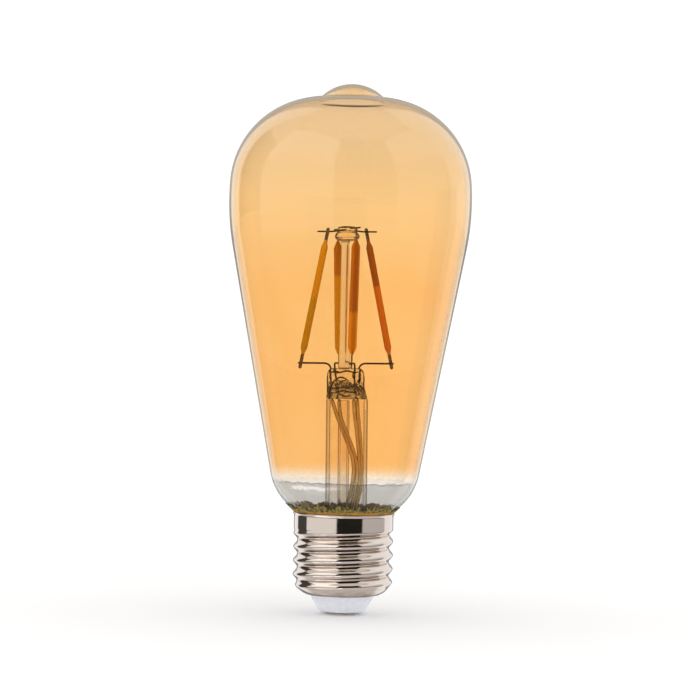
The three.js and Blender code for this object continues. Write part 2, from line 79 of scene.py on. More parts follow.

# What one wall of the glass lets through, as linear colour.
AMBER_LOW = (0.98, 0.69, 0.37, 1)
AMBER_LOW_PALE = (0.985, 0.72, 0.41, 1)
AMBER_MIDDLE = (0.97, 0.755, 0.475, 1)
AMBER_TOP = (0.905, 0.735, 0.515, 1)
# Painted shade on the cleared heel: grey, and darker towards the neck.
HEEL_SHADE_GREY = (0.61, 0.605, 0.585, 1)
HEEL_SHADE_GREY_LOW = (0.565, 0.565, 0.555, 1)
# The cleared glass, and the painted highlight across the heel.
HEEL_PINK = (0.965, 0.94, 0.915, 1)
# Painted shade where the glass is seen edge on, and its colour at the top.
GLASS_EDGE_SHADE = (0.45, 0.43, 0.41, 1)
GLASS_EDGE_SHADE_TOP = (0.6, 0.53, 0.45, 1)
DIP_LINE_COLOUR = (0.26, 0.23, 0.21, 1)
CLEAR_DULL = (0.98, 0.93, 0.86, 1)
CLEAR_PALE = (1.0, 0.965, 0.91, 1)

THREAD_PITCH = 3.629
THREAD_CREST_R = 13.2
THREAD_ROOT_R = 12.15
THREAD_FIRST_CREST_Z = 8.5
THREAD_TOP_Z = 21.4
THREAD_FADE = (5.9, 9.0)  # the thread grows out of the foot over these heights
SHEET = 0.3
COLLAR_R = 13.15
RIM_R = 13.5
RIM_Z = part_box("screw_shell")[1].z / MM
COLLAR_BLEND = 1.1  # height over which the thread becomes the collar
RIM_FLARE = 0.8
FOOT_LIFT = 0.8  # how far the foot of the sheet ends above the CAD shell's
SHELL_FOOT_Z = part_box("screw_shell")[0].z / MM + FOOT_LIFT
SHELL_FOOT_R = 8.75

STEM_TUBE_X = 0.42
STEM_ROD_X = -0.41
STEM_TUBE_R = 5.55
STEM_WALL = 0.85
STEM_TUBE_TOP_Z = 56.7
FLARE_R = 9.6
FLARE_START_Z = 27.3
PRESS_FOOT_Z = 57.0
PRESS_SHOULDER_Z = 60.4
PRESS_TOP_Z = 64.95
PRESS_HALF_WIDTH = 4.9
PRESS_HALF_DEPTH = 2.5
BUTTON_Z = 98.5
BUTTON_HEIGHT = 4.0
BUTTON_R = 3.4

FILAMENT_LENGTH = 38  # with its tabs
FILAMENT_BODY = 30.9
FILAMENT_TOP_TAB = 3.3
FILAMENT_HALF_WIDTH = 1.15
FILAMENT_HALF_DEPTH = 0.88
FILAMENT_TOP = (4.95, 102.0)  # distance from the stem's axis, and height
FILAMENT_FOOT = (12.2, 64.7)
TAB_WIDTH = 0.9
TAB_THICKNESS = 0.25

TOP_WIRE_R = 0.21
TOP_WIRE_HALF = 7.7  # half its length
LEAD_WIRE_R = 0.24
LEAD_ARM_Z = 66.2
SLEEVE_R = 0.47

# The stem leans a little in the bulb, about a point just off the lamp's axis.
STEM_LEAN = math.radians(-0.67)
STEM_SHIFT = 0.15
STEM_PIVOT_Z = 26
STEM_FRAME = (
    Matrix.Translation((STEM_SHIFT, 0, STEM_PIVOT_Z))
    @ Matrix.Rotation(STEM_LEAN, 4, "Y")
    @ Matrix.Translation((0, 0, -STEM_PIVOT_Z))
)

# ---- shape helpers


def lerp(a, b, t):
    return a + (b - a) * t


def smoothstep(x, low, high):
    t = np.clip((x - low) / (high - low), 0, 1)
    return t * t * (3 - 2 * t)


def unit(degrees):
    """The point at an angle on a circle of radius 1."""
    a = math.radians(degrees)
    return math.cos(a), math.sin(a)


def round_angles(sides):
    """Even angles all round, in radians."""
    return [2 * math.pi * i / sides for i in range(sides)]


def corner_curve(before, corner, after, parts):
    """Points of a curve from before to after, pulled towards the corner."""
    ts = [i / parts for i in range(parts + 1)]
    return [before.lerp(corner, t).lerp(corner.lerp(after, t), t) for t in ts]


def wobble(point, scale, seed):
    """Smooth noise from -1 to 1, the same on each run."""
    return noise.noise(Vector(point) * scale + Vector((seed * 17.3, seed * 5.1, seed * 9.7)))


def walk(start, heading, steps):
    """Tangent steps down the outside of a turned piece, as (r, z, heading) stops.

    A step is ("line", length) or ("arc", radius, turn). Headings are in degrees below the outward direction,
    and a positive turn bends downwards.
    """
    step_length = 0.5
    r, z = start
    heading = math.radians(heading)
    stops = [(r, z, heading)]
    for kind, size, *rest in steps:
        turn = math.radians(rest[0]) if rest else 0.0
        length = size if kind == "line" else size * abs(turn)
        parts = max(4, math.ceil(length / step_length))
        chord = length / parts if kind == "line" else 2 * size * math.sin(abs(turn) / parts / 2)
        for _ in range(parts):
            r += chord * math.cos(heading + turn / parts / 2)
            z -= chord * math.sin(heading + turn / parts / 2)
            heading += turn / parts
            stops.append((r, z, heading))
    return stops


def walled(stops, thickness):
    """The profile of an even wall whose outside follows the stops: down the inside, and up the outside."""
    inside = [
        (max(0.0, r - thickness * math.sin(h)), z - thickness * math.cos(h))
        for r, z, h in stops
    ]
    return inside + [(r, z) for r, z, _ in stops[::-1]]


def rounded(profile, radius, parts=5):
    """A profile with every corner rounded but its first and last points."""
    out = [profile[0]]
    for before, corner, after in zip(profile, profile[1:], profile[2:]):
        b, c, a = Vector(before), Vector(corner), Vector(after)
        reach = min(radius, (b - c).length * 0.45, (a - c).length * 0.45)
        p = c + (b - c).normalized() * reach
        q = c + (a - c).normalized() * reach
        out += [tuple(point) for point in corner_curve(p, c, q, parts)]
    out.append(profile[-1])
    return out


def turned(profile, sides=RING_SIDES, closed=False, change=None):
    """Points and faces of an (r, z) profile turned about Z. Ends on the axis become one point.

    closed joins the last point to the first. change takes (angle, r, z) and gives a new (r, z).
    """
    on_axis = 1e-6
    points, rings, faces = [], [], []
    for r, z in profile:
        if r < on_axis:
            rings.append([len(points)] * sides)
            points.append((0.0, 0.0, z))
            continue
        rings.append(list(range(len(points), len(points) + sides)))
        for angle in round_angles(sides):
            rr, zz = change(angle, r, z) if change else (r, z)
            points.append((rr * math.cos(angle), rr * math.sin(angle), zz))
    pairs = list(zip(rings, rings[1:]))
    if closed:
        pairs.append((rings[-1], rings[0]))
    for low, high in pairs:
        for i in range(sides):
            j = (i + 1) % sides
            corners = dict.fromkeys((low[i], low[j], high[j], high[i]))
            if len(corners) > 2:
                faces.append(tuple(corners))
    return points, faces


def quads(rows, sides, closed=False):
    """Faces between rows of points. closed joins the last row to the first."""
    faces = []
    for k in range(rows if closed else rows - 1):
        a, b = k * sides, (k + 1) % rows * sides
        for i in range(sides):
            j = (i + 1) % sides
            faces.append((a + i, a + j, b + j, b + i))
    return faces


def lofted(sections):
    """Points and faces of a closed skin over sections, each a list of as many points, with flat ends."""
    sides = len(sections[0])
    points = [p for section in sections for p in section]
    faces = quads(len(sections), sides)
    faces.append(tuple(range(sides))[::-1])
    faces.append(tuple(range(len(points) - sides, len(points))))
    return points, faces


def swept(path, radius, sides=16):
    """A round wire along a path, with rounded ends.

    radius is a number, or a function of 0..1 along the path.
    """
    path = [Vector(p) for p in path]
    lengths = [0.0]
    for a, b in zip(path, path[1:]):
        lengths.append(lengths[-1] + (b - a).length)
    tangents = [
        (path[min(i + 1, len(path) - 1)] - path[max(i - 1, 0)]).normalized()
        for i in range(len(path))
    ]
    normal = tangents[0].orthogonal().normalized()
    rings = []
    for p, tangent, length in zip(path, tangents, lengths):
        normal = (normal - tangent * normal.dot(tangent)).normalized()
        size = radius(length / lengths[-1]) if callable(radius) else radius
        rings.append((p, tangent, normal.copy(), size))
    cap_angles = [math.radians(d) for d in (35, 60, 82)]

    def cap(ring, side):
        p, tangent, normal, r = ring
        return [(p + tangent * side * r * math.sin(a), tangent, normal, r * math.cos(a)) for a in cap_angles]

    sections = []
    for p, tangent, normal, r in cap(rings[0], -1)[::-1] + rings + cap(rings[-1], 1):
        across = tangent.cross(normal)
        sections.append([
            tuple(p + (normal * math.cos(a) + across * math.sin(a)) * r)
            for a in round_angles(sides)
        ])
    return lofted(sections)


def bent_path(points, bend):
    """Straight runs through the points, with each corner rounded over the bend length on both sides."""
    step, parts = 0.25, 8
    points = [Vector(p) for p in points]
    out = [points[0]]
    for before, corner, after in zip(points, points[1:], points[2:]):
        a = corner + (before - corner).normalized() * bend
        b = corner + (after - corner).normalized() * bend
        out += corner_curve(a, corner, b, parts)
    out.append(points[-1])
    fine = [out[0]]
    for a, b in zip(out, out[1:]):
        count = max(1, round((b - a).length / step))
        fine += [a.lerp(b, i / count) for i in range(1, count + 1)]
    return fine


def smooth_path(points):
    """A centripetal Catmull-Rom curve through the points."""
    per_span = 12
    points = [Vector(p) for p in points]
    points = [points[0] * 2 - points[1], *points, points[-1] * 2 - points[-2]]
    out = []
    for p0, p1, p2, p3 in zip(points, points[1:], points[2:], points[3:]):
        d1, d2, d3 = ((b - a).length ** 0.5 for a, b in ((p0, p1), (p1, p2), (p2, p3)))
        m1 = (p1 - p0) / d1 - (p2 - p0) / (d1 + d2) + (p2 - p1) / d2
        m2 = (p2 - p1) / d2 - (p3 - p1) / (d2 + d3) + (p3 - p2) / d3
        for i in range(per_span):
            t = i / per_span
            out.append(
                p1 * (2 * t**3 - 3 * t**2 + 1)
                + m1 * d2 * (t**3 - 2 * t**2 + t)
                + p2 * (3 * t**2 - 2 * t**3)
                + m2 * d2 * (t**3 - t**2)
            )
    return [*out, points[-2]]


def ball(centre, radii):
    """A smooth ellipsoid."""
    profile = [unit(d) for d in range(-90, 91, 15)]
    profile[0], profile[-1] = (0.0, -1.0), (0.0, 1.0)
    points, faces = turned(profile, 20)
    return [tuple(c + p * r for c, p, r in zip(centre, point, radii)) for point in points], faces


def together(*shapes):
    """One shape of several."""
    points, faces = [], []
    for some_points, some_faces in shapes:
        start = len(points)
        points += [tuple(p) for p in some_points]
        faces += [tuple(start + i for i in face) for face in some_faces]
    return points, faces


def moved(shape, matrix):
    points, faces = shape
    return [tuple(matrix @ Vector(p)) for p in points], faces


def piece(name, shape, material, slot, replaces, sharp=35, place=None):
    """Makes the object of a shape: it faces out, is smooth but for sharp edges, and rides on the lamp."""
    points, faces = moved(shape, place) if place else shape
    mesh = bpy.data.meshes.new(name)
    mesh.from_pydata([Vector(p) * MM for p in points], [], faces)
    bm = bmesh.new()
    bm.from_mesh(mesh)
    bmesh.ops.recalc_face_normals(bm, faces=bm.faces)
    if bm.calc_volume(signed=True) < 0:
        bmesh.ops.reverse_faces(bm, faces=bm.faces)
    bm.to_mesh(mesh)
    bm.free()
    mesh.shade_smooth()
    mesh.set_sharp_from_angle(angle=math.radians(sharp))
    obj = bpy.data.objects.new(name, mesh)
    bpy.context.scene.collection.objects.link(obj)
    mesh.materials.append(material)
    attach(obj, BODY)
    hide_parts(*replaces)
    return obj


# ---- materials


class Nodes:
    """Short ways to add nodes to a tree. Where an input takes a socket, it is linked."""

    def __init__(self, tree):
        self.tree = tree

    def set(self, node, inputs):
        for key, value in inputs.items():
            socket = node.inputs[key]
            if isinstance(value, bpy.types.NodeSocket):
                self.tree.links.new(value, socket)
            else:
                socket.default_value = value

    def node(self, kind, inputs=None, **settings):
        made = self.tree.nodes.new("ShaderNode" + kind)
        for key, value in settings.items():
            setattr(made, key, value)
        self.set(made, inputs or {})
        return made

    def maths(self, operation, a, b=0.5):
        return self.node("Math", {0: a, 1: b}, operation=operation).outputs[0]

    def product(self, first, *others):
        for other in others:
            first = self.maths("MULTIPLY", first, other)
        return first

    def span(self, value, low, high, to_low=0.0, to_high=1.0, smooth=False):
        """The value moved from the range low..high to another."""
        kind = "SMOOTHSTEP" if smooth else "LINEAR"
        inputs = {"Value": value, "From Min": low, "From Max": high, "To Min": to_low, "To Max": to_high}
        return self.node("MapRange", inputs, interpolation_type=kind).outputs[0]

    def blend(self, factor, a, b, how="MIX"):
        """Colour a where the factor is 0, to colour b where it is 1."""
        made = self.node("Mix", data_type="RGBA", blend_type=how)
        self.set(made, {0: factor, 6: a, 7: b})
        return made.outputs[2]


class Look(Nodes):
    """A principled material. Its values are the surface's inputs, with _ for each space."""

    def __init__(self, name, **values):
        self.material = bpy.data.materials.new(name)
        self.material.use_nodes = True
        super().__init__(self.material.node_tree)
        self.surface = self.tree.nodes["Principled BSDF"]
        self.set(self.surface, {k.replace("_", " "): v for k, v in values.items()})

    def place(self):
        """The point of the surface in the lamp's frame, in metres."""
        return self.node("TexCoord").outputs["Object"]

    def coordinate(self, axis):
        return self.node("SeparateXYZ", {0: self.place()}).outputs[axis]

    def by_height(self, low, high, to_low=0.0, to_high=1.0, smooth=False):
        """Changes over the heights low..high, in millimetres."""
        return self.span(self.coordinate("Z"), low * MM, high * MM, to_low, to_high, smooth)

    def noise(self, scale, detail=3.0, roughness=0.5, vector=None):
        """Noise about 0..1. scale is in repeats per metre."""
        inputs = {"Scale": scale, "Detail": detail, "Roughness": roughness, "Vector": vector or self.place()}
        return self.node("TexNoise", inputs).outputs["Fac"]

    def patches(self, scale, detail, reach=(0.3, 0.7), to=(0.0, 1.0)):
        """Noise whose usual reach is moved to 0..1, or to another range."""
        return self.span(self.noise(scale, detail), *reach, *to)

    def stretched(self, factors):
        """The point with each coordinate multiplied: a small factor draws noise out along it."""
        return self.node("VectorMath", {0: self.place(), 1: factors}, operation="MULTIPLY").outputs[0]

    def edge_on(self, low, high):
        """0 where the surface faces the eye, to 1 where it is seen edge on, through more glass; the looks use
        it to paint shade along edges.
        """
        facing = self.node("LayerWeight", {"Blend": 0.5}).outputs["Facing"]
        return self.span(facing, low, high, smooth=True)

    def paint(self, shade, roughness=None):
        """Sets the surface's colour, and its roughness where that varies."""
        self.set(self.surface, {"Base Color": shade})
        if roughness:
            self.set(self.surface, {"Roughness": roughness})

    def bump(self, height, distance):
        """Relief as deep as the distance, in millimetres, where the height goes from 0 to 1."""
        inputs = {"Height": height, "Distance": distance * MM, "Strength": 1.0}
        self.set(self.surface, {"Normal": self.node("Bump", inputs).outputs[0]})

    def attribute(self, name):
        """A value that the mesh keeps at each of its points."""
        return self.node("Attribute", attribute_name=name).outputs["Fac"]


def colour(red, green, blue):
    """Linear colour from 0..255 display values."""
    def linear(value):
        value /= 255
        return value / 12.92 if value <= 0.04045 else ((value + 0.055) / 1.055) ** 2.4
    return (linear(red), linear(green), linear(blue), 1.0)


def amber_glass():
    """Clear glass with an amber coating: paler at the top, and thinning out unevenly above the heel, with
    painted shade on the cleared heel and along edges, and a painted highlight on the heel.
    """
    look = Look("amber_glass", Transmission_Weight=1.0, Roughness=0.0, IOR=1.34)
    wander, lap_wander = 0.9 * MM, 0.4 * MM
    ragged = look.patches(900, 2.0, to=(-wander, wander))
    speckle = look.patches(9000, 1.0, to=(-wander, wander))
    height = look.maths("ADD", look.coordinate("Z"), look.maths("ADD", ragged, speckle))
    cloudy = look.patches(45, 2.0, (0.35, 0.65))
    amber = look.blend(cloudy, AMBER_LOW, AMBER_LOW_PALE)
    amber = look.blend(look.by_height(*AMBER_MIDDLE_Z), amber, AMBER_MIDDLE)
    amber = look.blend(look.by_height(*AMBER_TOP_Z), amber, AMBER_TOP)
    coated = look.span(height, AMBER_EDGE_Z * MM, AMBER_FULL_Z * MM, smooth=True)

    # The dip that cleared the heel left a thin ragged line, clearest on the viewer's side.
    lap = look.maths("ADD", look.coordinate("Z"), look.patches(420, 4.0, to=(-lap_wander, lap_wander)))

    def above_line(low, high, to_low=0.0, to_high=1.0):
        """Changes over low..high, in millimetres from the ragged line."""
        return look.span(lap, (DIP_LINE_Z + low) * MM, (DIP_LINE_Z + high) * MM, to_low, to_high)

    line = look.product(above_line(-0.22, -0.08), above_line(0.08, 0.22, 1.0, 0.0))
    front = look.span(look.coordinate("Y"), -12 * MM, 4 * MM, 1.0, 0.0)
    # Painted shade: below the line the cleared glass is grey, most on the viewer's side and darker towards
    # the neck.
    below = above_line(-0.1, 0.0, 1.0, 0.0)
    grey = look.maths("MULTIPLY", below, look.span(front, 0.0, 1.0, 0.3, 1.0))
    # Painted highlight: a pale streak across the heel on the viewer's side.
    painted_highlight = look.product(
        front,
        look.span(look.coordinate("X"), -14.2 * MM, -13 * MM),
        look.span(look.coordinate("X"), -7 * MM, 2 * MM, 1.0, 0.0),
        above_line(-1.75, -1.5),
        above_line(-0.95, -0.75, 1.0, 0.0),
    )
    shaded = look.blend(look.by_height(*HEEL_SHADE_Z), HEEL_SHADE_GREY_LOW, HEEL_SHADE_GREY)
    clear = look.blend(grey, HEEL_PINK, shaded)
    clear = look.blend(painted_highlight, clear, HEEL_PINK)
    body = look.blend(coated, clear, amber)
    body = look.blend(look.product(line, front, 0.75), body, DIP_LINE_COLOUR)
    # Painted shade: darker where the glass is seen edge on.
    edge = look.blend(look.by_height(*TIP_EDGE_Z), GLASS_EDGE_SHADE, GLASS_EDGE_SHADE_TOP)
    look.paint(look.blend(look.edge_on(0.86, 0.95), body, edge))
    return look.material


def clear_glass(name, dull, pale, edge, edge_range=(0.5, 0.74), through=1.0, roughness=0.0):
    """Glass that is a little cloudy, from its dull to its pale colour, with painted shade in another colour
    where it is seen edge on.
    """
    look = Look(name, Transmission_Weight=through, Roughness=roughness, IOR=1.5)
    tint = look.blend(look.patches(260, 3.0, (0.35, 0.65)), dull, pale)
    # Painted shade: the edge colour where the glass is seen edge on.
    look.paint(look.blend(look.edge_on(*edge_range), tint, edge))
    look.bump(look.noise(300, 2.0), 0.03)
    return look.material


def creased_glass():
    """The pressed glass of the stem's head: painted brown shade where it is seen edge on, painted dark
    patches that gather low down, and fine creases.
    """
    look = Look("creased_glass", Transmission_Weight=1.0, Roughness=0.02, IOR=1.5)
    # Painted shade: dark olive patches, most of them low on the press.
    shade_patches = look.span(look.noise(1100, 4.0, 0.6), 0.48, 0.62, smooth=True)
    low = look.by_height(PRESS_SHOULDER_Z - 0.6, PRESS_SHOULDER_Z + 2.2, 0.85, 0.3)
    tint = look.blend(look.product(shade_patches, low), (0.95, 0.89, 0.77, 1), (0.36, 0.34, 0.24, 1))
    # Painted shade: brown where the glass is seen edge on.
    look.paint(look.blend(look.edge_on(0.26, 0.56), tint, (0.05, 0.03, 0.015, 1)))
    look.bump(look.noise(700, 3.0), 0.3)
    return look.material


def fold_shade():
    """Painted shade: the dark grey and brown that a deep fold in glass shows."""
    look = Look("fold_shade", Roughness=0.25, Coat_Weight=0.5)
    patchy = look.patches(1500, 3.0, (0.35, 0.65))
    look.paint(look.blend(patchy, (0.018, 0.016, 0.014, 1), (0.11, 0.085, 0.05, 1)))
    return look.material


def bubble_glint():
    """Painted highlight: the pale middle of a bubble in the glass, where it gathers light."""
    look = Look("bubble_glint", Roughness=0.2)
    look.paint(look.blend(look.patches(2000, 2.0), (0.8, 0.68, 0.48, 1), (1.0, 0.96, 0.85, 1)))
    return look.material


def nickel():
    """Polished plating, with drawn lines round the cap, golden brown in the thread's roots and darker streaks
    round its foot.
    """
    look = Look("nickel_plating", Metallic=1.0)
    radius = look.node("VectorMath", {0: look.stretched((1, 1, 0))}, operation="LENGTH").outputs["Value"]
    root_low, root_high = (THREAD_ROOT_R + 0.01) * MM, (THREAD_ROOT_R + 0.14) * MM
    root = look.span(radius, root_low, root_high, 1.0, 0.0, smooth=True)
    low = look.by_height(THREAD_FIRST_CREST_Z - 1.5, THREAD_FIRST_CREST_Z + 1)
    foot = look.by_height(THREAD_FIRST_CREST_Z - 3.0, THREAD_FIRST_CREST_Z - 0.8, 1.0, 0.0)
    # Golden brown in the thread's roots.
    root_tint = look.product(root, low, look.patches(260, 4.0, (0.3, 0.75), (0.35, 1.0)), 0.8)
    plating = look.blend(look.noise(120, 3.0), (0.65, 0.575, 0.53, 1), (0.73, 0.655, 0.6, 1))
    # Darker streaks round the foot.
    foot_streaks = look.noise(1, 3.0, 0.6, vector=look.stretched((130, 130, 700)))
    streaked_foot = look.product(look.span(foot_streaks, 0.4, 0.58), foot, 0.85)
    plating = look.blend(streaked_foot, plating, (0.36, 0.29, 0.23, 1))
    plating = look.blend(root_tint, plating, (0.36, 0.2, 0.08, 1))
    look.paint(plating, look.patches(500, 5.0, (0.3, 0.75), (0.05, 0.13)))
    lines = look.noise(1, 3.0, vector=look.stretched((150, 150, 9000)))
    dents = look.product(look.noise(1, 2.0, vector=look.stretched((110, 110, 420))), foot)
    look.bump(look.maths("ADD", look.product(lines, 0.004), look.product(dents, 0.3)), 1.0)
    return look.material


def speckled(name, dark, light, rough, grain, relief, spread=(0.3, 0.7), rough_grain=None, **values):
    """A surface that is speckled from its dark to its light colour, and over its range of roughness.

    A grain is the scale and detail of noise, and the relief is a grain and a depth in millimetres. Roughness
    follows the speckles where it has no grain of its own.
    """
    look = Look(name, **values)
    speckle = look.noise(*grain)
    uneven = look.noise(*rough_grain) if rough_grain else speckle
    look.paint(look.blend(look.span(speckle, *spread), dark, light), look.span(uneven, 0.3, 0.7, *rough))
    scale, detail, depth = relief
    look.bump(look.noise(scale, detail), depth)
    return look.material


def insulator():
    return speckled("insulator", colour(230, 232, 240), colour(242, 244, 250), (0.35, 0.5), (700, 4.0),
                    (3000, 3.0, 0.02), rough_grain=(2500, 2.0), Specular_IOR_Level=0.4)


def contact_metal():
    return speckled("contact_metal", (0.42, 0.36, 0.28, 1), (0.62, 0.56, 0.46, 1), (0.25, 0.5), (1500, 5.0),
                    (2500, 4.0, 0.03), spread=(0.35, 0.65), Metallic=1.0)


def dull_metal(name, dark, light, rough=(0.35, 0.6)):
    return speckled(name, dark, light, rough, (2500, 4.0), (6000, 3.0, 0.02), Metallic=1.0)


def plastic(name, dark, light, rough, grain=3000):
    """Its colours are 0..255 display values."""
    return speckled(name, colour(*dark), colour(*light), (rough - 0.08, rough + 0.08), (grain, 3.0),
                    (grain * 1.5, 3.0, 0.02), Specular_IOR_Level=0.45)


def cement():
    """Olive brown, streaked where it ran up the glass, with painted light making its far side paler, and
    golden along the rim.
    """
    look = Look("basing_cement", Roughness=0.9)
    streaks = look.noise(1500, 5.0, 0.65, vector=look.stretched((1, 1, 0.8)))
    brown = look.blend(look.span(streaks, 0.4, 0.6), colour(52, 42, 8), colour(158, 142, 74))
    olive = look.blend(look.span(streaks, 0.4, 0.6), colour(104, 98, 10), colour(214, 206, 76))
    # Painted light: the far side is paler and more olive.
    brown = look.blend(look.span(look.coordinate("Y"), -2 * MM, 4 * MM), brown, olive)
    golden = look.product(
        look.by_height(27, 27.6, 1.0, 0.0),
        look.patches(500, 3.0, (0.35, 0.6), (0.2, 1.0)),
    )
    look.paint(look.blend(golden, brown, colour(200, 138, 44)))
    look.bump(look.noise(2200, 5.0, 0.65), 0.25)
    return look.material


def phosphor(name, upper, lower, change_at, chip_shade):
    """Silicone with phosphor in it, over a strip of chips, which is darker by its shade.

    The colour changes from the upper to the lower one at a fraction of the length.
    """
    look = Look(name, Specular_IOR_Level=0.0)
    along = look.attribute("along")
    wavy = look.maths("ADD", along, look.patches(1500, 2.0, to=(-0.01, 0.01)))
    step = look.span(wavy, change_at - 0.012, change_at + 0.012)
    base = look.blend(step, colour(*upper), colour(*lower))
    mottle = look.span(look.noise(2600, 4.0, 0.6), 0.3, 0.7, 0.82, 1.12)
    core = look.span(look.attribute("across"), 0.25, 0.75, chip_shade, 1.0, smooth=True)
    # Painted shade: the silicone darkens towards its sides where it is seen edge on.
    shade = look.product(mottle, core, look.span(look.edge_on(0.45, 0.95), 0.0, 1.0, 1.0, 0.55))
    tint = look.node("CombineColor", {0: shade, 1: shade, 2: shade}).outputs[0]
    look.paint(look.blend(1.0, base, tint, "MULTIPLY"), look.patches(3000, 2.0, to=(0.4, 0.6)))
    look.bump(look.noise(2200, 3.0), 0.06)
    return look.material


def sleeve():
    """Amber tubing over the leads, with painted shade along its sides where it is seen edge on."""
    look = Look("lead_sleeve", Transmission_Weight=0.6, IOR=1.35)
    streaks = look.noise(1300, 3.0, vector=look.stretched((1, 1, 0.12)))
    body = look.blend(look.span(streaks, 0.4, 0.6), (1.0, 0.6, 0.16, 1), (1.0, 0.9, 0.5, 1))
    # Painted shade: near black where the tubing is seen edge on.
    body = look.blend(look.edge_on(0.22, 0.36), body, (0.02, 0.014, 0.01, 1))
    look.paint(body, look.span(streaks, 0.3, 0.7, 0.15, 0.3))
    return look.material


# ---- glass bulb

GLASS_OUTLINE = [  # steps down the outside from the top: a line's length, or an arc's radius and turn
    ("arc", 11.6, 44.5),  # moulded tip
    ("arc", 1.5, -42),
    ("arc", 23.9, 83.5),  # shoulder
    ("arc", 69, 14.7),  # widest part
    ("line", 60.4),  # long taper
    ("arc", 15.2, 35.7),  # heel
    ("line", 4.0),
    ("arc", 3, -46.4),  # into the neck
]


def glass_stops():
    """The outside of the bulb from its tip to the end of its neck."""
    stops = walk((0, LAMP_HEIGHT), 0, GLASS_OUTLINE)
    r, _, heading = stops[-1]
    return [*stops, (r, NECK_END_Z, heading)]


def make_bulb():
    """The sealed bulb, as an even wall."""
    profile = walled(glass_stops(), GLASS_WALL)
    piece("bulb_glass", turned(profile), amber_glass(), "amber_glass", ["glass_envelope"], sharp=60)


# ---- screw cap


def shell_radius(angle, z):
    """The radius of the shell's outside, with its rounded right-hand thread."""
    mean = (THREAD_CREST_R + THREAD_ROOT_R) / 2
    depth = THREAD_CREST_R - THREAD_ROOT_R
    phase = (z - THREAD_FIRST_CREST_Z) / THREAD_PITCH - angle / (2 * math.pi)
    thread = mean + depth / 2 * math.cos(2 * math.pi * phase)
    flare = (RIM_R - COLLAR_R) * smoothstep(z, RIM_Z - RIM_FLARE, RIM_Z)
    drop = min(1, max(0, (THREAD_FIRST_CREST_Z - z) / (THREAD_FIRST_CREST_Z - SHELL_FOOT_Z)))
    foot = lerp(SHELL_FOOT_R, THREAD_ROOT_R + 0.2, math.sqrt(1 - drop * drop))
    above_foot = lerp(foot, thread, smoothstep(z, *THREAD_FADE))
    return lerp(above_foot, COLLAR_R + flare, smoothstep(z, THREAD_TOP_Z, THREAD_TOP_Z + COLLAR_BLEND))


def make_shell():
    """Each row of the sheet is a height and an inset. Half-round rows close its rim and its foot."""
    edge = SHEET / 2
    low, high = SHELL_FOOT_Z + edge, RIM_Z - edge
    count = 150  # of rows up the sheet
    heights = [low + (high - low) * (i / count) for i in range(count + 1)]
    arc = [math.radians(a) for a in range(15, 180, 15)]
    rows = [(z, 0.0, 0.0) for z in heights]
    rows += [(high, edge - edge * math.cos(a), edge * math.sin(a)) for a in arc]
    rows += [(z, SHEET, 0.0) for z in heights[::-1]]
    rows += [(low, edge + edge * math.cos(a), -edge * math.sin(a)) for a in arc]
    points = []
    for z, inset, rise in rows:
        for angle in round_angles(RING_SIDES):
            r = shell_radius(angle, z) - inset
            points.append((r * math.cos(angle), r * math.sin(angle), z + rise))
    sheet = points, quads(len(rows), RING_SIDES, closed=True)
    piece("cap_shell", sheet, nickel(), "nickel", ["screw_shell"])


def make_insulator():
    """A cone under the shell and a plug inside it, with a hole for the live wire."""
    hole = 1.7
    profile = rounded([
        (hole, 3.0), (hole, 0.5), (5.4, 0.5), (6.15, 0.9), (8.55, SHELL_FOOT_Z - 0.05), (9.5, 5.8),
        (10.6, 7.3), (hole, 7.3), (hole, 3.0),
    ], 0.35)
    cone = turned(profile[:-1], 128, closed=True)
    piece("cap_insulator_moulding", cone, insulator(), "insulator", ["cap_insulator"])


def make_contact():
    """A thin eyelet with a rolled edge, and the solder that fills it."""
    disc = rounded([
        (0, 0.12), (1.5, 0.12), (1.9, 0.0), (4.2, 0.0), (4.6, 0.14),
        (4.6, 0.35), (0.9, 0.35), (0.9, 2.3), (0, 2.3),
    ], 0.1, 4)
    solder = [(0, 0.03), (0.7, 0.04), (1.2, 0.08), (1.45, 0.14), (1.0, 0.2), (0, 0.2)]
    piece("contact_disc", together(turned(disc, 96), turned(solder, 48)), contact_metal(), "contact_metal",
          ["centre_contact"])


def make_cement():
    """Cement fills the gap between the neck and the rim, and climbs the glass to an uneven edge."""
    stops = glass_stops()[::-1]
    heights, radii = [z for _, z, _ in stops], [r for r, _, _ in stops]

    def glass_r(z):
        return float(np.interp(z, heights, radii))

    start, top = 27.0, 29.0  # heights of the even ring's rim, and of its climb before it is made ragged

    def ragged(angle, r, z):
        """The edge climbs the glass further on the viewer's side, and least on the far side."""
        if z <= start:
            return r, z
        where = (math.cos(angle), math.sin(angle), 0)
        reach = 0.72 + 0.4 * wobble(where, 4.0, 1) + 0.45 * wobble(where, 13, 2) + 0.4 * wobble(where, 34, 3)
        reach *= lerp(0.45, 1.12, 0.5 - 0.5 * math.sin(angle)) * (1 - 0.15 * math.cos(angle))
        lifted = start + (z - start) * max(0.15, reach)
        thick = (r - glass_r(z)) * (1 + 0.5 * wobble((*where[:2], z * 0.3), 22, 4))
        return glass_r(lifted) + thick, lifted

    foot = 22.8
    gap, thickness = 0.03, 0.24  # from the glass to the inside and to the outside of the climb
    climb = [lerp(start, top, i / 8) for i in range(9)]
    inside = [(11.75, foot), *((glass_r(z) + gap, z) for z in climb)]
    outside = [(glass_r(z) + thickness, z) for z in climb[::-1]]
    outside += [(12.9, 26.85), (12.95, 26.3), (12.4, 25.2), (12.4, foot)]
    piece("cement_ring", turned([*inside, *outside], 384, closed=True, change=ragged), cement(), "cement",
          ["basing_cement"])


# ---- glass stem


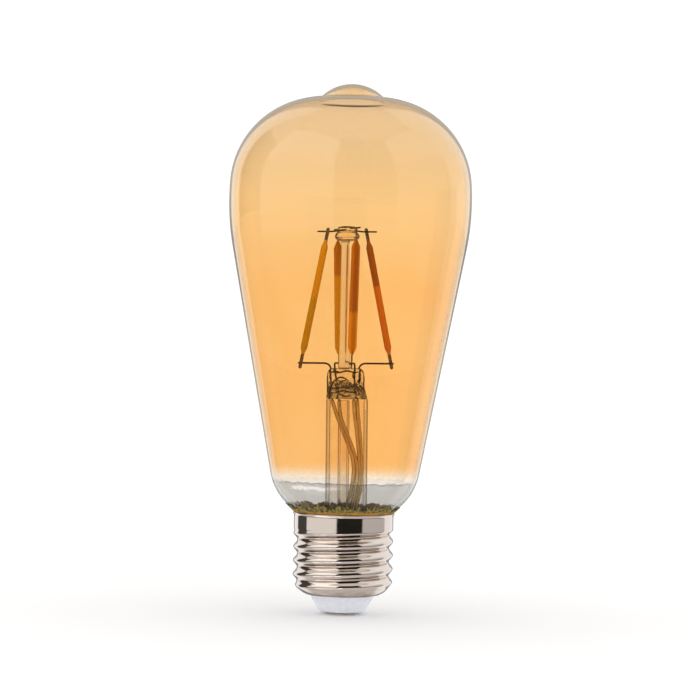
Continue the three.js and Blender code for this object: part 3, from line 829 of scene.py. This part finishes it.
def make_stem(glass):
    """The flared tube, the pump tube inside it, and the rod that stands on the press."""

    def cos(degrees):
        return math.cos(math.radians(degrees))

    bend_r, bend, lip_r, lip = 7, -40, 2.4, -25  # the flare's bend and its lip, as radii and turns
    bend_out = bend_r * (1 - cos(bend))
    lip_out = lip_r * (cos(bend) - cos(bend + lip))
    slope = (FLARE_R - STEM_TUBE_R - bend_out - lip_out) / math.sin(-math.radians(bend))
    stops = walk((STEM_TUBE_R, STEM_TUBE_TOP_Z), 90, [
        ("line", STEM_TUBE_TOP_Z - FLARE_START_Z),
        ("arc", bend_r, bend),
        ("line", slope),
        ("arc", lip_r, lip),
    ])
    tube = turned(walled(stops, STEM_WALL), 128, closed=True)
    piece("stem_tube", tube, glass, "clear_glass", ["stem_flare_tube"], sharp=50,
          place=STEM_FRAME @ Matrix.Translation((STEM_TUBE_X, 0, 0)))

    on_rod = STEM_FRAME @ Matrix.Translation((STEM_ROD_X, 0, 0))
    outer, inner, top = 1.5, 0.95, PRESS_FOOT_Z - 0.6
    profile = rounded([
        (0, 21.6), (0.9, 22.2), (outer, 24), (outer, top), (inner, top), (inner, 25), (0, 23.6),
    ], 0.25)
    # Its last colour is painted shade, where the tube is seen edge on.
    pump_look = clear_glass("pump_glass", CLEAR_DULL, CLEAR_PALE, (0.05, 0.035, 0.015, 1),
                            edge_range=(0.36, 0.58))
    piece("pump_tube", turned(profile, 64), pump_look, "clear_glass", ["exhaust_tube"], place=on_rod)

    foot, head = PRESS_TOP_Z - 0.6, BUTTON_Z + 0.5
    profile = rounded([
        (0, foot), (1.8, foot), (1.5, foot + 1.2), (1.42, foot + 3), (1.06, head - 1), (1.4, head), (0, head),
    ], 0.5)
    # Its last colour is painted shade, where the rod is seen edge on.
    rod_look = clear_glass("rod_glass", (0.99, 0.98, 0.97, 1), (1.0, 0.995, 0.985, 1), (0.5, 0.36, 0.22, 1),
                           through=0.88, roughness=0.14)
    piece("rod_glass", turned(profile, 64), rod_look, "clear_glass", ["support_rod"], place=on_rod)


PRESS_BUBBLES = [  # centre, half width and half height of the rims of air trapped in the pinched glass, drawn as dark loops of painted shade round painted highlights
    ((-2.25, -2.35, 61.2), (0.85, 0.6)),
    ((-0.35, -2.4, 60.9), (0.75, 0.8)),
    ((1.15, -2.4, 60.3), (0.35, 0.3)),
    ((-0.9, 2.35, 61.0), (0.9, 0.6)),
]

PRESS_SHADE_BLOBS = [  # centre and radii of dark balls of painted shade, where the folds look darkest
    ((-3.5, -2.35, 60.8), (0.3, 0.2, 0.55)),
    ((-1.3, -3.3, 58.9), (1.3, 0.3, 0.2)),
    ((2.5, -2.6, 60.5), (0.5, 0.3, 0.4)),
    ((4.0, -2.2, 60.0), (0.28, 0.2, 0.6)),
    ((-2.7, -2.25, 63.9), (1.15, 0.15, 0.33)),
    ((2.0, -2.25, 63.0), (0.3, 0.15, 0.85)),
    ((-4.3, -2.3, 59.2), (0.3, 0.2, 0.9)),
]

PRESS_CREASES = [  # folds that the jaws leave in the glass, as points on its front and back, drawn as dark tubes of painted shade
    [(-4.0, -2.2, 59.8), (-3.1, -2.45, 61.5), (-1.4, -2.5, 62.5), (0.3, -2.5, 61.9), (1.4, -2.45, 60.7)],
    [(-3.9, -2.6, 59.3), (-1.6, -2.75, 59.9), (0.2, -2.75, 59.6), (1.9, -2.7, 60.1), (3.6, -2.5, 61.0)],
    [(-4.4, -2.7, 58.6), (-2.6, -3.4, 58.4), (-0.4, -3.8, 58.9), (1.8, -3.6, 58.5), (4.2, -2.7, 59.1)],
    [(2.1, -2.5, 62.0), (2.6, -2.55, 60.6), (3.5, -2.7, 59.6), (4.5, -2.5, 58.4)],
    [(2.0, -2.6, 60.3), (2.5, -3.2, 59.1), (2.2, -3.9, 57.8)],
    [(-4.6, -1.8, 60.4), (-4.2, -2.4, 59.3), (-4.7, -2.3, 58.0), (-5.1, -1.6, 57.1)],
    [(-2.2, -3.2, 59.0), (-1.2, -3.9, 57.9), (0.2, -4.2, 57.5), (1.5, -4.1, 57.8)],
    [(3.4, -2.3, 60.6), (4.2, -2.3, 59.9), (4.7, -1.8, 59.1), (5.0, -1.6, 57.3)],
    [(-4.0, -2.1, 64.1), (-2.2, -2.3, 63.7), (0.4, -2.3, 64.2), (2.4, -2.2, 63.8), (4.1, -1.9, 64.2)],
    [(-4.9, -1.2, 58.2), (-4.75, -1.3, 60.5), (-4.75, -1.2, 62.8), (-4.3, -1.1, 64.2)],
    [(5.0, -1.2, 58.2), (4.75, -1.3, 60.5), (4.75, -1.2, 62.8), (4.3, -1.1, 64.2)],
    [(1.9, -2.7, 60.3), (3.0, -3.1, 59.4), (3.6, -3.4, 58.2)],
    [(3.4, -2.5, 61.6), (2.7, -2.6, 60.9), (1.2, -2.7, 60.1), (-0.5, -2.9, 59.5)],
    [(-3.6, 2.4, 59.6), (-1.9, 2.5, 61.4), (0.6, 2.5, 60.6), (3.3, 2.4, 61.2)],
    [(-4.1, 2.8, 58.5), (-1.5, 3.6, 58.9), (1.6, 3.6, 58.4), (4.1, 2.8, 59.0)],
]


def make_press(glass):
    """The pinched top of the stem: a round foot, a flat top, the creases that the jaws leave, drawn as
    painted shade, and painted highlights in its bubbles.
    """
    w, d = PRESS_HALF_WIDTH, PRESS_HALF_DEPTH
    foot, shoulder, top = PRESS_FOOT_Z, PRESS_SHOULDER_Z, PRESS_TOP_Z
    levels = [  # height, half width, half depth, squareness
        (foot - 0.2, 5.35, 5.35, 2.0),
        (foot + 0.5, 5.3, 4.9, 2.05),
        (foot + 1.6, 5.1, 4.2, 2.2),
        (foot + 2.7, 4.95, 3.3, 2.6),
        (shoulder, w, d + 0.3, 3.0),
        (shoulder + 1, w, d, 4.0),
        (top - 1.5, w, d, 4.0),
        (top - 0.6, w - 0.3, d - 0.2, 3.6),
        (top - 0.15, w - 0.8, d - 0.6, 3.2),
        (top, w - 1.6, d - 1.2, 3.0),
    ]
    rows, sides = 60, 96
    sections = []
    for k in range(rows + 1):
        z = lerp(levels[0][0], levels[-1][0], k / rows)
        upper = next(i for i in range(1, len(levels)) if levels[i][0] >= z - 1e-9)
        low, high = levels[upper - 1], levels[upper]
        t = smoothstep(z, low[0], high[0])
        width, depth, n = (lerp(low[i], high[i], t) for i in (1, 2, 3))
        shift = STEM_TUBE_X * max(0, 1 - (z - foot) / (shoulder - foot))
        creased = 1 - smoothstep(abs(z - (shoulder - 0.8)), 0.5, 2.6)
        section = []
        for a in round_angles(sides):
            c, s = math.cos(a), math.sin(a)
            x = width * math.copysign(abs(c) ** (2 / n), c)
            y = depth * math.copysign(abs(s) ** (2 / n), s)
            fold = 0.32 * wobble((x * 0.9, y * 0.5, z * 1.1), 1.0, 5) + 0.16 * wobble((x, y, z), 2.4, 6)
            scale = 1 + creased * fold * 0.6 + 0.012 * wobble((x, y, z), 1.5, 7)
            section.append((x * (1 + (scale - 1) * 0.12) + shift, y * scale, z))
        sections.append(section)

    def crease_radius(t):
        return 0.07 + 0.17 * math.sin(math.pi * t)

    # Dark tubes, loops and balls of painted shade.
    fold_shade_shapes = [swept(smooth_path(route), crease_radius, 10) for route in PRESS_CREASES]
    for (x, y, z), (half_width, half_height) in PRESS_BUBBLES:
        loop = [
            (x + half_width * math.cos(a), y - 0.15 * math.cos(2 * a), z + half_height * math.sin(a))
            for a in (math.radians(d) for d in range(20, 371, 15))
        ]
        fold_shade_shapes.append(swept(loop, 0.14, 8))
    fold_shade_shapes += [ball(centre, radii) for centre, radii in PRESS_SHADE_BLOBS]
    # Painted highlights in the middle of the bubbles.
    glints = [ball(centre, (0.55 * size[0], 0.12, 0.55 * size[1])) for centre, size in PRESS_BUBBLES]
    for name, shape, look, sharp in (
        ("press_glass", lofted(sections), glass, 60),
        ("press_fold_shade", together(*fold_shade_shapes), fold_shade(), 35),
        ("press_glints", together(*glints), bubble_glint(), 35),
    ):
        piece(name, shape, look, "clear_glass", ["stem_press"], sharp=sharp, place=STEM_FRAME)


def make_button(glass):
    """The bead on the rod: a wide lower ring and a smaller upper one."""
    z = BUTTON_Z
    top = z + BUTTON_HEIGHT
    profile = rounded([
        (0, z), (1.6, z), (2.9, z + 0.35), (BUTTON_R, z + 1.2), (3.05, z + 2.0), (2.5, z + 2.4),
        (2.75, z + 3.1), (2.3, top - 0.25), (1.3, top - 0.05), (0, top - 0.3),
    ], 0.5)

    def uneven(angle, r, z):
        return r * (1 + 0.05 * wobble((math.cos(angle), math.sin(angle), z * 0.6), 1.3, 8)), z

    bead = turned(profile, 96, change=uneven)
    piece("bead_glass", bead, glass, "clear_glass", ["rod_button"], place=STEM_FRAME)


# ---- wires and filaments

ANCHOR_WIRES = {  # azimuth about the stem, height, and how far it bows up in the bead
    "side_to_side": (0, 101.0, 0.2),
    "front_to_back": (116, 101.8, 0),
}

FILAMENTS = {  # azimuths of the top and the foot
    "left": (180, 180),
    "right": (0, 0),
    "front": (-64, -84.7),
    "back": (116, 97),
}

LEADS = {  # azimuth, the ends of the run through the press, and the sleeved route inside the stem
    "left": (180, (-4.0, -0.4), (-3.4, -0.9), [
        (-2.9, -1.5, 54.8), (-1.75, -2.9, 51.5), (-0.75, -3.1, 48.9), (0.45, -3.0, 45.8), (1.65, -2.7, 42.4),
        (2.25, -2.5, 39), (2.1, -2.5, 35.6), (1.5, -2.6, 32), (0.2, -2.5, 27.5), (-3.2, -1.7, 19.6)]),
    "back": (97, (-3.1, 1.0), (-1.6, -2.0), [
        (-1.5, -2.1, 54.4), (-1.0, -2.2, 51.5), (0.0, -2.25, 48.9), (1.2, -2.2, 45.8), (2.4, -1.9, 42.4),
        (3.1, -1.7, 39), (3.1, -1.7, 35.6), (2.6, -1.8, 32), (1.4, -2.0, 27.5), (-1.2, -1.7, 19.6)]),
    "front": (-84.7, (2.4, -1.0), (2.2, -0.9), [
        (2.25, -0.9, 54.6), (2.45, -0.9, 52.6), (3.05, -0.7, 48.1), (3.4, -0.6, 44.7), (3.7, -0.5, 41.3),
        (3.9, -0.5, 36.7), (3.65, -0.6, 33.3), (2.9, -0.8, 30.6), (1.9, -1.2, 27.5), (1.0, -1.7, 19.6)]),
    "right": (0, (3.5, 0.4), (3.2, 0.4), [
        (3.25, 0.35, 54.6), (3.4, 0.35, 52.6), (3.9, 0.4, 48.1), (4.2, 0.4, 44.7), (4.4, 0.45, 41.3),
        (4.45, 0.45, 36.7), (4.3, 0.3, 33.3), (3.75, 0.1, 30.6), (3.0, -0.3, 27.5), (3.2, -1.5, 19.6)]),
}


def on_ring(azimuth, ring):
    """The point at an azimuth on a ring round the stem's axis, given as its radius and height."""
    r, z = ring
    c, s = unit(azimuth)
    return Vector((r * c, r * s, z))


def make_anchor_wires(metal):
    """The two wires through the bead that the filaments hang from."""
    for name, (azimuth, z, bow) in ANCHOR_WIRES.items():
        along = on_ring(azimuth, (1, 0))
        stations = [(-TOP_WIRE_HALF, 0), (-4, 0), (-2.6, bow), (2.6, bow), (4, 0), (TOP_WIRE_HALF, 0)]
        points = [along * s + Vector((0, 0, z + rise)) for s, rise in stations]
        piece(f"anchor_{name}", swept(bent_path(points, 0.4), TOP_WIRE_R), metal, "wire_metal",
              [f"anchor_wire_{name}"], place=STEM_FRAME)


def filament_place(top, foot):
    """The frame of a filament: its top end is the origin, +X faces out, and it runs down -Z."""
    head, tail = on_ring(top, FILAMENT_TOP), on_ring(foot, FILAMENT_FOOT)
    up = (head - tail).normalized()
    outwards = on_ring((top + foot) / 2, (1, 0))
    side = up.cross(outwards).normalized()
    out = side.cross(up).normalized()
    turn = Matrix((out, side, up)).transposed().to_4x4()
    return Matrix.Translation(head + side * (TAB_THICKNESS / 2 + TOP_WIRE_R)) @ turn


def filament_body(seed):
    """A strip of chips under phosphor: oval, tapered to both ends, and a little uneven.

    With its shape come two values for each of its points: how far along the strip, and how far to its sides.
    """
    head, foot = -FILAMENT_TOP_TAB, -FILAMENT_TOP_TAB - FILAMENT_BODY
    taper, tip = 2.2, 0.45
    rows, sides = 150, 32
    sections, along, across = [], [], []
    for k in range(rows + 1):
        t = k / rows
        z = lerp(head, foot, t)
        from_end = min(head - z, z - foot)
        swell = lerp(tip, 1.0, smoothstep(from_end, 0.1, taper))
        swell *= smoothstep(from_end, -0.35, 0.35)
        swell *= 1 + 0.025 * wobble((0, 0, z), 0.7, seed) + 0.012 * wobble((0, 0, z), 2.5, seed + 1)
        section = []
        for a in round_angles(sides):
            lump = 1 + 0.02 * wobble((math.cos(a), math.sin(a), z), 1.2, seed + 2)
            x = FILAMENT_HALF_DEPTH * swell * lump * math.cos(a)
            y = FILAMENT_HALF_WIDTH * swell * lump * math.sin(a)
            section.append((x, y, z))
            along.append(t)
            across.append(abs(math.sin(a)))
        sections.append(section)
    return lofted(sections), along, across


def tab(start, end, round_at):
    """A flat tab in the x-z plane of the filament's frame, with softened edges.

    Its free end is round. round_at is 1 where that end is the upper one, and -1 where it is the lower one.
    """
    half = TAB_WIDTH / 2
    arc_z = end - round_at * half
    outline = [(-half, start), (half, start)]
    outline += [(half * c, arc_z + round_at * half * s) for c, s in map(unit, range(0, 181, 15))]
    soft = 0.05
    inner = 0.5 - soft / TAB_THICKNESS
    levels = [(-0.5, soft), (-inner, 0), (inner, 0), (0.5, soft)]
    middle = (start + end) / 2
    sections = []
    for level, inset in levels:
        shrink = 1 - inset / half
        reach = 1 - inset / abs(end - start) * 2
        y = level * TAB_THICKNESS
        sections.append([(x * shrink, y, middle + (z - middle) * reach) for x, z in outline])
    return lofted(sections)


def make_filaments(metal, looks):
    """Each filament with the flat tabs at its ends, which are welded to a wire."""
    for seed, (name, ends) in enumerate(FILAMENTS.items()):
        place = STEM_FRAME @ filament_place(*ends)
        shape, along, across = filament_body(20 + 5 * seed)
        look, slot = looks[name]
        obj = piece(f"led_strip_{name}", shape, look, slot, [f"filament_{name}"], place=place)
        for key, values in (("along", along), ("across", across)):
            obj.data.attributes.new(key, "FLOAT", "POINT").data.foreach_set("value", values)
        head_z, foot_z = -FILAMENT_TOP_TAB, -FILAMENT_TOP_TAB - FILAMENT_BODY
        overlap = 0.6  # how far a tab reaches into the strip
        tabs = {
            "top": (tab(head_z - overlap, 0, 1), -1.2),
            "foot": (tab(foot_z + overlap, -FILAMENT_LENGTH, -1), -FILAMENT_LENGTH + 1.4),
        }
        for end, (strip, weld_z) in tabs.items():
            weld = ball((0, -TAB_THICKNESS / 2 - 0.05, weld_z), (0.34, 0.2, 0.34))
            piece(f"tab_{name}_{end}", together(strip, weld), metal, "tab_metal",
                  [f"filament_{name}_{end}_tab"], place=place)


def make_leads(metal, sleeving):
    """Each lead's bare wire, from a filament's foot into the press, and its sleeved run down the stem."""
    for name, (azimuth, top, foot, outer) in LEADS.items():
        climb = (LEAD_ARM_Z - FILAMENT_FOOT[1]) / (FILAMENT_TOP[1] - FILAMENT_FOOT[1])
        joint = on_ring(azimuth, (lerp(FILAMENT_FOOT[0], FILAMENT_TOP[0], climb), LEAD_ARM_Z))
        corner = Vector((*top, LEAD_ARM_Z))
        end = joint + (joint - corner).normalized() * 0.6
        path = bent_path([end, corner, Vector((*foot, PRESS_FOOT_Z - 0.6))], 1.9)
        wire = together(swept(path, LEAD_WIRE_R), ball(joint, (0.36, 0.36, 0.3)))
        piece(f"lead_{name}", wire, metal, "wire_metal", [f"lead_wire_{name}"], place=STEM_FRAME)
        route = smooth_path([Vector((*foot, PRESS_FOOT_Z - 0.8)), *outer])
        piece(f"sleeve_{name}", swept(route, SLEEVE_R), sleeving, "lead_sleeve", [f"outer_lead_{name}"],
              place=STEM_FRAME)


# ---- driver, hidden in the cap


def dress_driver():
    """Materials for the CAD nodes that are shown as they are."""
    laminate = plastic("laminate", (22, 74, 46), (34, 100, 62), 0.4, 1800)
    black = plastic("black_plastic", (20, 20, 22), (36, 36, 38), 0.5)
    copper = dull_metal("copper", (0.5, 0.22, 0.1, 1), (0.75, 0.38, 0.2, 1), (0.2, 0.4))
    shield = dull_metal("shield_metal", (0.5, 0.5, 0.52, 1), (0.68, 0.69, 0.7, 1), (0.2, 0.35))
    looks = {
        "driver_board": laminate,
        "radio_board": laminate,
        "bridge_rectifier": black,
        "led_driver_chip": black,
        "radio_header": black,
        "smoothing_capacitor": plastic("can_sleeve", (22, 28, 46), (36, 44, 66), 0.3),
        "inductor_core": plastic("ferrite", (44, 45, 48), (66, 66, 70), 0.7),
        "inductor_winding": copper,
        "radio_antenna": copper,
        "fusible_resistor": plastic("resistor_body", (128, 166, 154), (152, 186, 176), 0.6),
        "radio_shield_can": shield,
        "live_wire": plastic("black_sleeve", (26, 26, 26), (44, 44, 44), 0.5),
        "neutral_wire": plastic("white_sleeve", (214, 212, 204), (236, 234, 228), 0.5),
    }
    for node, material in looks.items():
        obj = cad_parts[node]
        obj.data.materials.clear()
        obj.data.materials.append(material)


# ---- stage, light and camera

STUDIO_WHITE = (1.07, 1.07, 1.07, 1)

# What mirrors show. Heights are the upward part of a direction, or on a card one unit away.
MIRROR_DARK = (0.02, 0.018, 0.015, 1)
MIRROR_CEILING = (0.8, 0.76, 0.7, 1)
CEILING_FROM = (0.80, 0.88)
MIRROR_TABLE = (0.72, 0.68, 0.66, 1)
TABLE_UP_TO = (-0.43, -0.39)
CARD_SOFTNESS = 0.03
# A card has a colour, azimuth, half width, foot, top and the foot's softness. Later ones cover earlier ones.
MIRROR_CARDS = [
    ((0.8, 0.76, 0.7, 1), -113.5, 0.34, 0.8, 3.0, 0.03),  # pale side wall over a dark one
    ((0.075, 0.07, 0.066, 1), -113.5, 0.34, -0.5, 0.8, 0.03),
    ((0.98, 0.955, 0.92, 1), -55.5, 0.824, -0.24, 1.84, 0.06),  # left softbox, and its brighter upper part
    ((1.5, 1.47, 1.43, 1), -55.5, 0.824, 0.55, 1.84, 0.15),
    ((0.62, 0.605, 0.585, 1), 77.2, 0.643, -0.24, 1.6, 0.06),  # right softbox, and its brighter upper part
    ((1.05, 1.03, 1.0, 1), 77.2, 0.643, 0.55, 1.6, 0.15),
    ((1.12, 1.12, 1.12, 1), 134, 0.45, -0.9, 1.8, 0.12),  # white backdrops
    ((1.12, 1.12, 1.12, 1), -145, 0.23, -0.9, 1.8, 0.12),
    ((0.3, 0.31, 0.33, 1), 180, 0.40, -1.4, 1.8, 0.12),  # grey card behind the lamp, paler at the top
    ((0.52, 0.5, 0.47, 1), 180, 0.40, 0.04, 1.8, 0.04),
    ((2.4, 2.35, 2.3, 1), -45, 0.95, -1.6, -1.12, 0.06),  # low bright strip in front
]


def light_studio():
    """White all round, for what is lit or seen straight through the glass.

    A mirror image shows the studio instead: a tall softbox on each side of a dark opening for the camera,
    backdrops, a table and a pale ceiling.
    """
    world = bpy.data.worlds.new("studio")
    bpy.context.scene.world = world
    world.use_nodes = True
    world.cycles.sampling_method = "NONE"
    nodes = Nodes(world.node_tree)
    direction = nodes.node("TexCoord").outputs["Generated"]
    up = nodes.node("SeparateXYZ", {0: direction}).outputs["Z"]

    def along(vector):
        return nodes.node("VectorMath", {0: direction, 1: vector}, operation="DOT_PRODUCT").outputs["Value"]

    def card(azimuth, half_width, low, high, soft_foot):
        """1 on an upright card one unit away. Azimuth 0 is the viewer's side, and 90 their right."""
        c, s = unit(azimuth)
        soft, just_ahead = CARD_SOFTNESS, 0.0001
        ahead = nodes.maths("MAXIMUM", along((s, -c, 0)), just_ahead)
        aside = nodes.maths("DIVIDE", along((c, s, 0)), ahead)
        above = nodes.maths("DIVIDE", up, ahead)
        return nodes.product(
            nodes.span(nodes.maths("ABSOLUTE", aside), half_width - soft, half_width + soft, 1.0, 0.0),
            nodes.span(above, high - soft, high + soft, 1.0, 0.0),
            nodes.span(above, low - soft_foot, low + soft_foot),
        )

    seen = nodes.blend(nodes.span(up, *CEILING_FROM), MIRROR_DARK, MIRROR_CEILING)
    seen = nodes.blend(nodes.span(up, *TABLE_UP_TO, 1.0, 0.0), seen, MIRROR_TABLE)
    for shade, *place in MIRROR_CARDS:
        seen = nodes.blend(card(*place), seen, shade)
    mirrored = nodes.maths("GREATER_THAN", nodes.node("LightPath").outputs["Glossy Depth"], 0.5)
    background = world.node_tree.nodes["Background"]
    nodes.set(background, {"Color": nodes.blend(mirrored, STUDIO_WHITE, seen), "Strength": 1.0})


def make_stage():
    """A plain floor in a white studio. Mirrors don't show the floor, but the studio's table instead."""
    floor_r, gap = 6.0, 0.1 * MM  # in metres
    mesh = bpy.data.meshes.new("floor")
    bm = bmesh.new()
    bmesh.ops.create_circle(bm, cap_ends=True, radius=floor_r, segments=96)
    bm.to_mesh(mesh)
    bm.free()
    floor = bpy.data.objects.new("floor", mesh)
    floor.location.z = -gap
    floor.visible_glossy = False
    bpy.context.scene.collection.objects.link(floor)
    look = Look("floor", Base_Color=(0.99, 0.99, 0.99, 1), Roughness=1.0, Specular_IOR_Level=0.0)
    mesh.materials.append(look.material)
    light_studio()


def make_camera():
    """A long lens at the height of the lamp's middle, rolled a little."""
    distance, height, across = 0.680, 0.0697, 0.0007  # in metres
    roll = 1.24
    data = bpy.data.cameras.new("camera")
    data.lens = 132.2
    data.sensor_width = 36
    camera = bpy.data.objects.new("camera", data)
    camera.matrix_world = (
        Matrix.Translation((across, -distance, height))
        @ Matrix.Rotation(math.pi / 2, 4, "X")
        @ Matrix.Rotation(math.radians(roll), 4, "Z")
    )
    bpy.context.scene.collection.objects.link(camera)
    bpy.context.scene.camera = camera


def set_light_paths():
    """Deep enough for light to pass through the bulb, the stem and the bulb again. Colours stay plain."""
    cycles = bpy.context.scene.cycles
    cycles.max_bounces = 40
    cycles.transmission_bounces = 40
    cycles.glossy_bounces = 12
    bpy.context.scene.view_settings.view_transform = "Standard"


# ---- lamp

make_camera()
make_stage()
set_light_paths()
make_bulb()
make_shell()
make_insulator()
make_contact()
make_cement()
# The last colour of each clear glass is painted shade, where it is seen edge on.
stem_glass = clear_glass("clear_glass", CLEAR_DULL, CLEAR_PALE, (0.05, 0.03, 0.012, 1))
make_stem(stem_glass)
make_press(creased_glass())
# Its last colour is painted shade too.
bead_glass = clear_glass("bead_glass", (0.9, 0.74, 0.48, 1), (1.0, 0.93, 0.8, 1), (0.06, 0.03, 0.01, 1),
                         edge_range=(0.3, 0.58))
make_button(bead_glass)
wire_metal = dull_metal("wire_metal", (0.03, 0.028, 0.022, 1), (0.09, 0.08, 0.065, 1))
tab_metal = dull_metal("tab_metal", (0.16, 0.13, 0.08, 1), (0.42, 0.36, 0.24, 1))
golden = phosphor("golden_phosphor", (238, 182, 0), (216, 174, 0), 0.5, 0.97)
golden_back = phosphor("golden_phosphor_back", (212, 144, 0), (240, 186, 0), 0.3, 0.95)
amber_side = phosphor("amber_phosphor", (178, 104, 0), (228, 134, 0), 0.4, 0.95)
amber_core = phosphor("amber_phosphor_core", (214, 134, 0), (252, 172, 0), 0.64, 0.62)
make_anchor_wires(wire_metal)
make_filaments(tab_metal, {
    "left": (golden, "golden_phosphor"),
    "right": (amber_side, "amber_phosphor"),
    "front": (amber_core, "amber_phosphor"),
    "back": (golden_back, "golden_phosphor"),
})
make_leads(wire_metal, sleeve())
dress_driver()
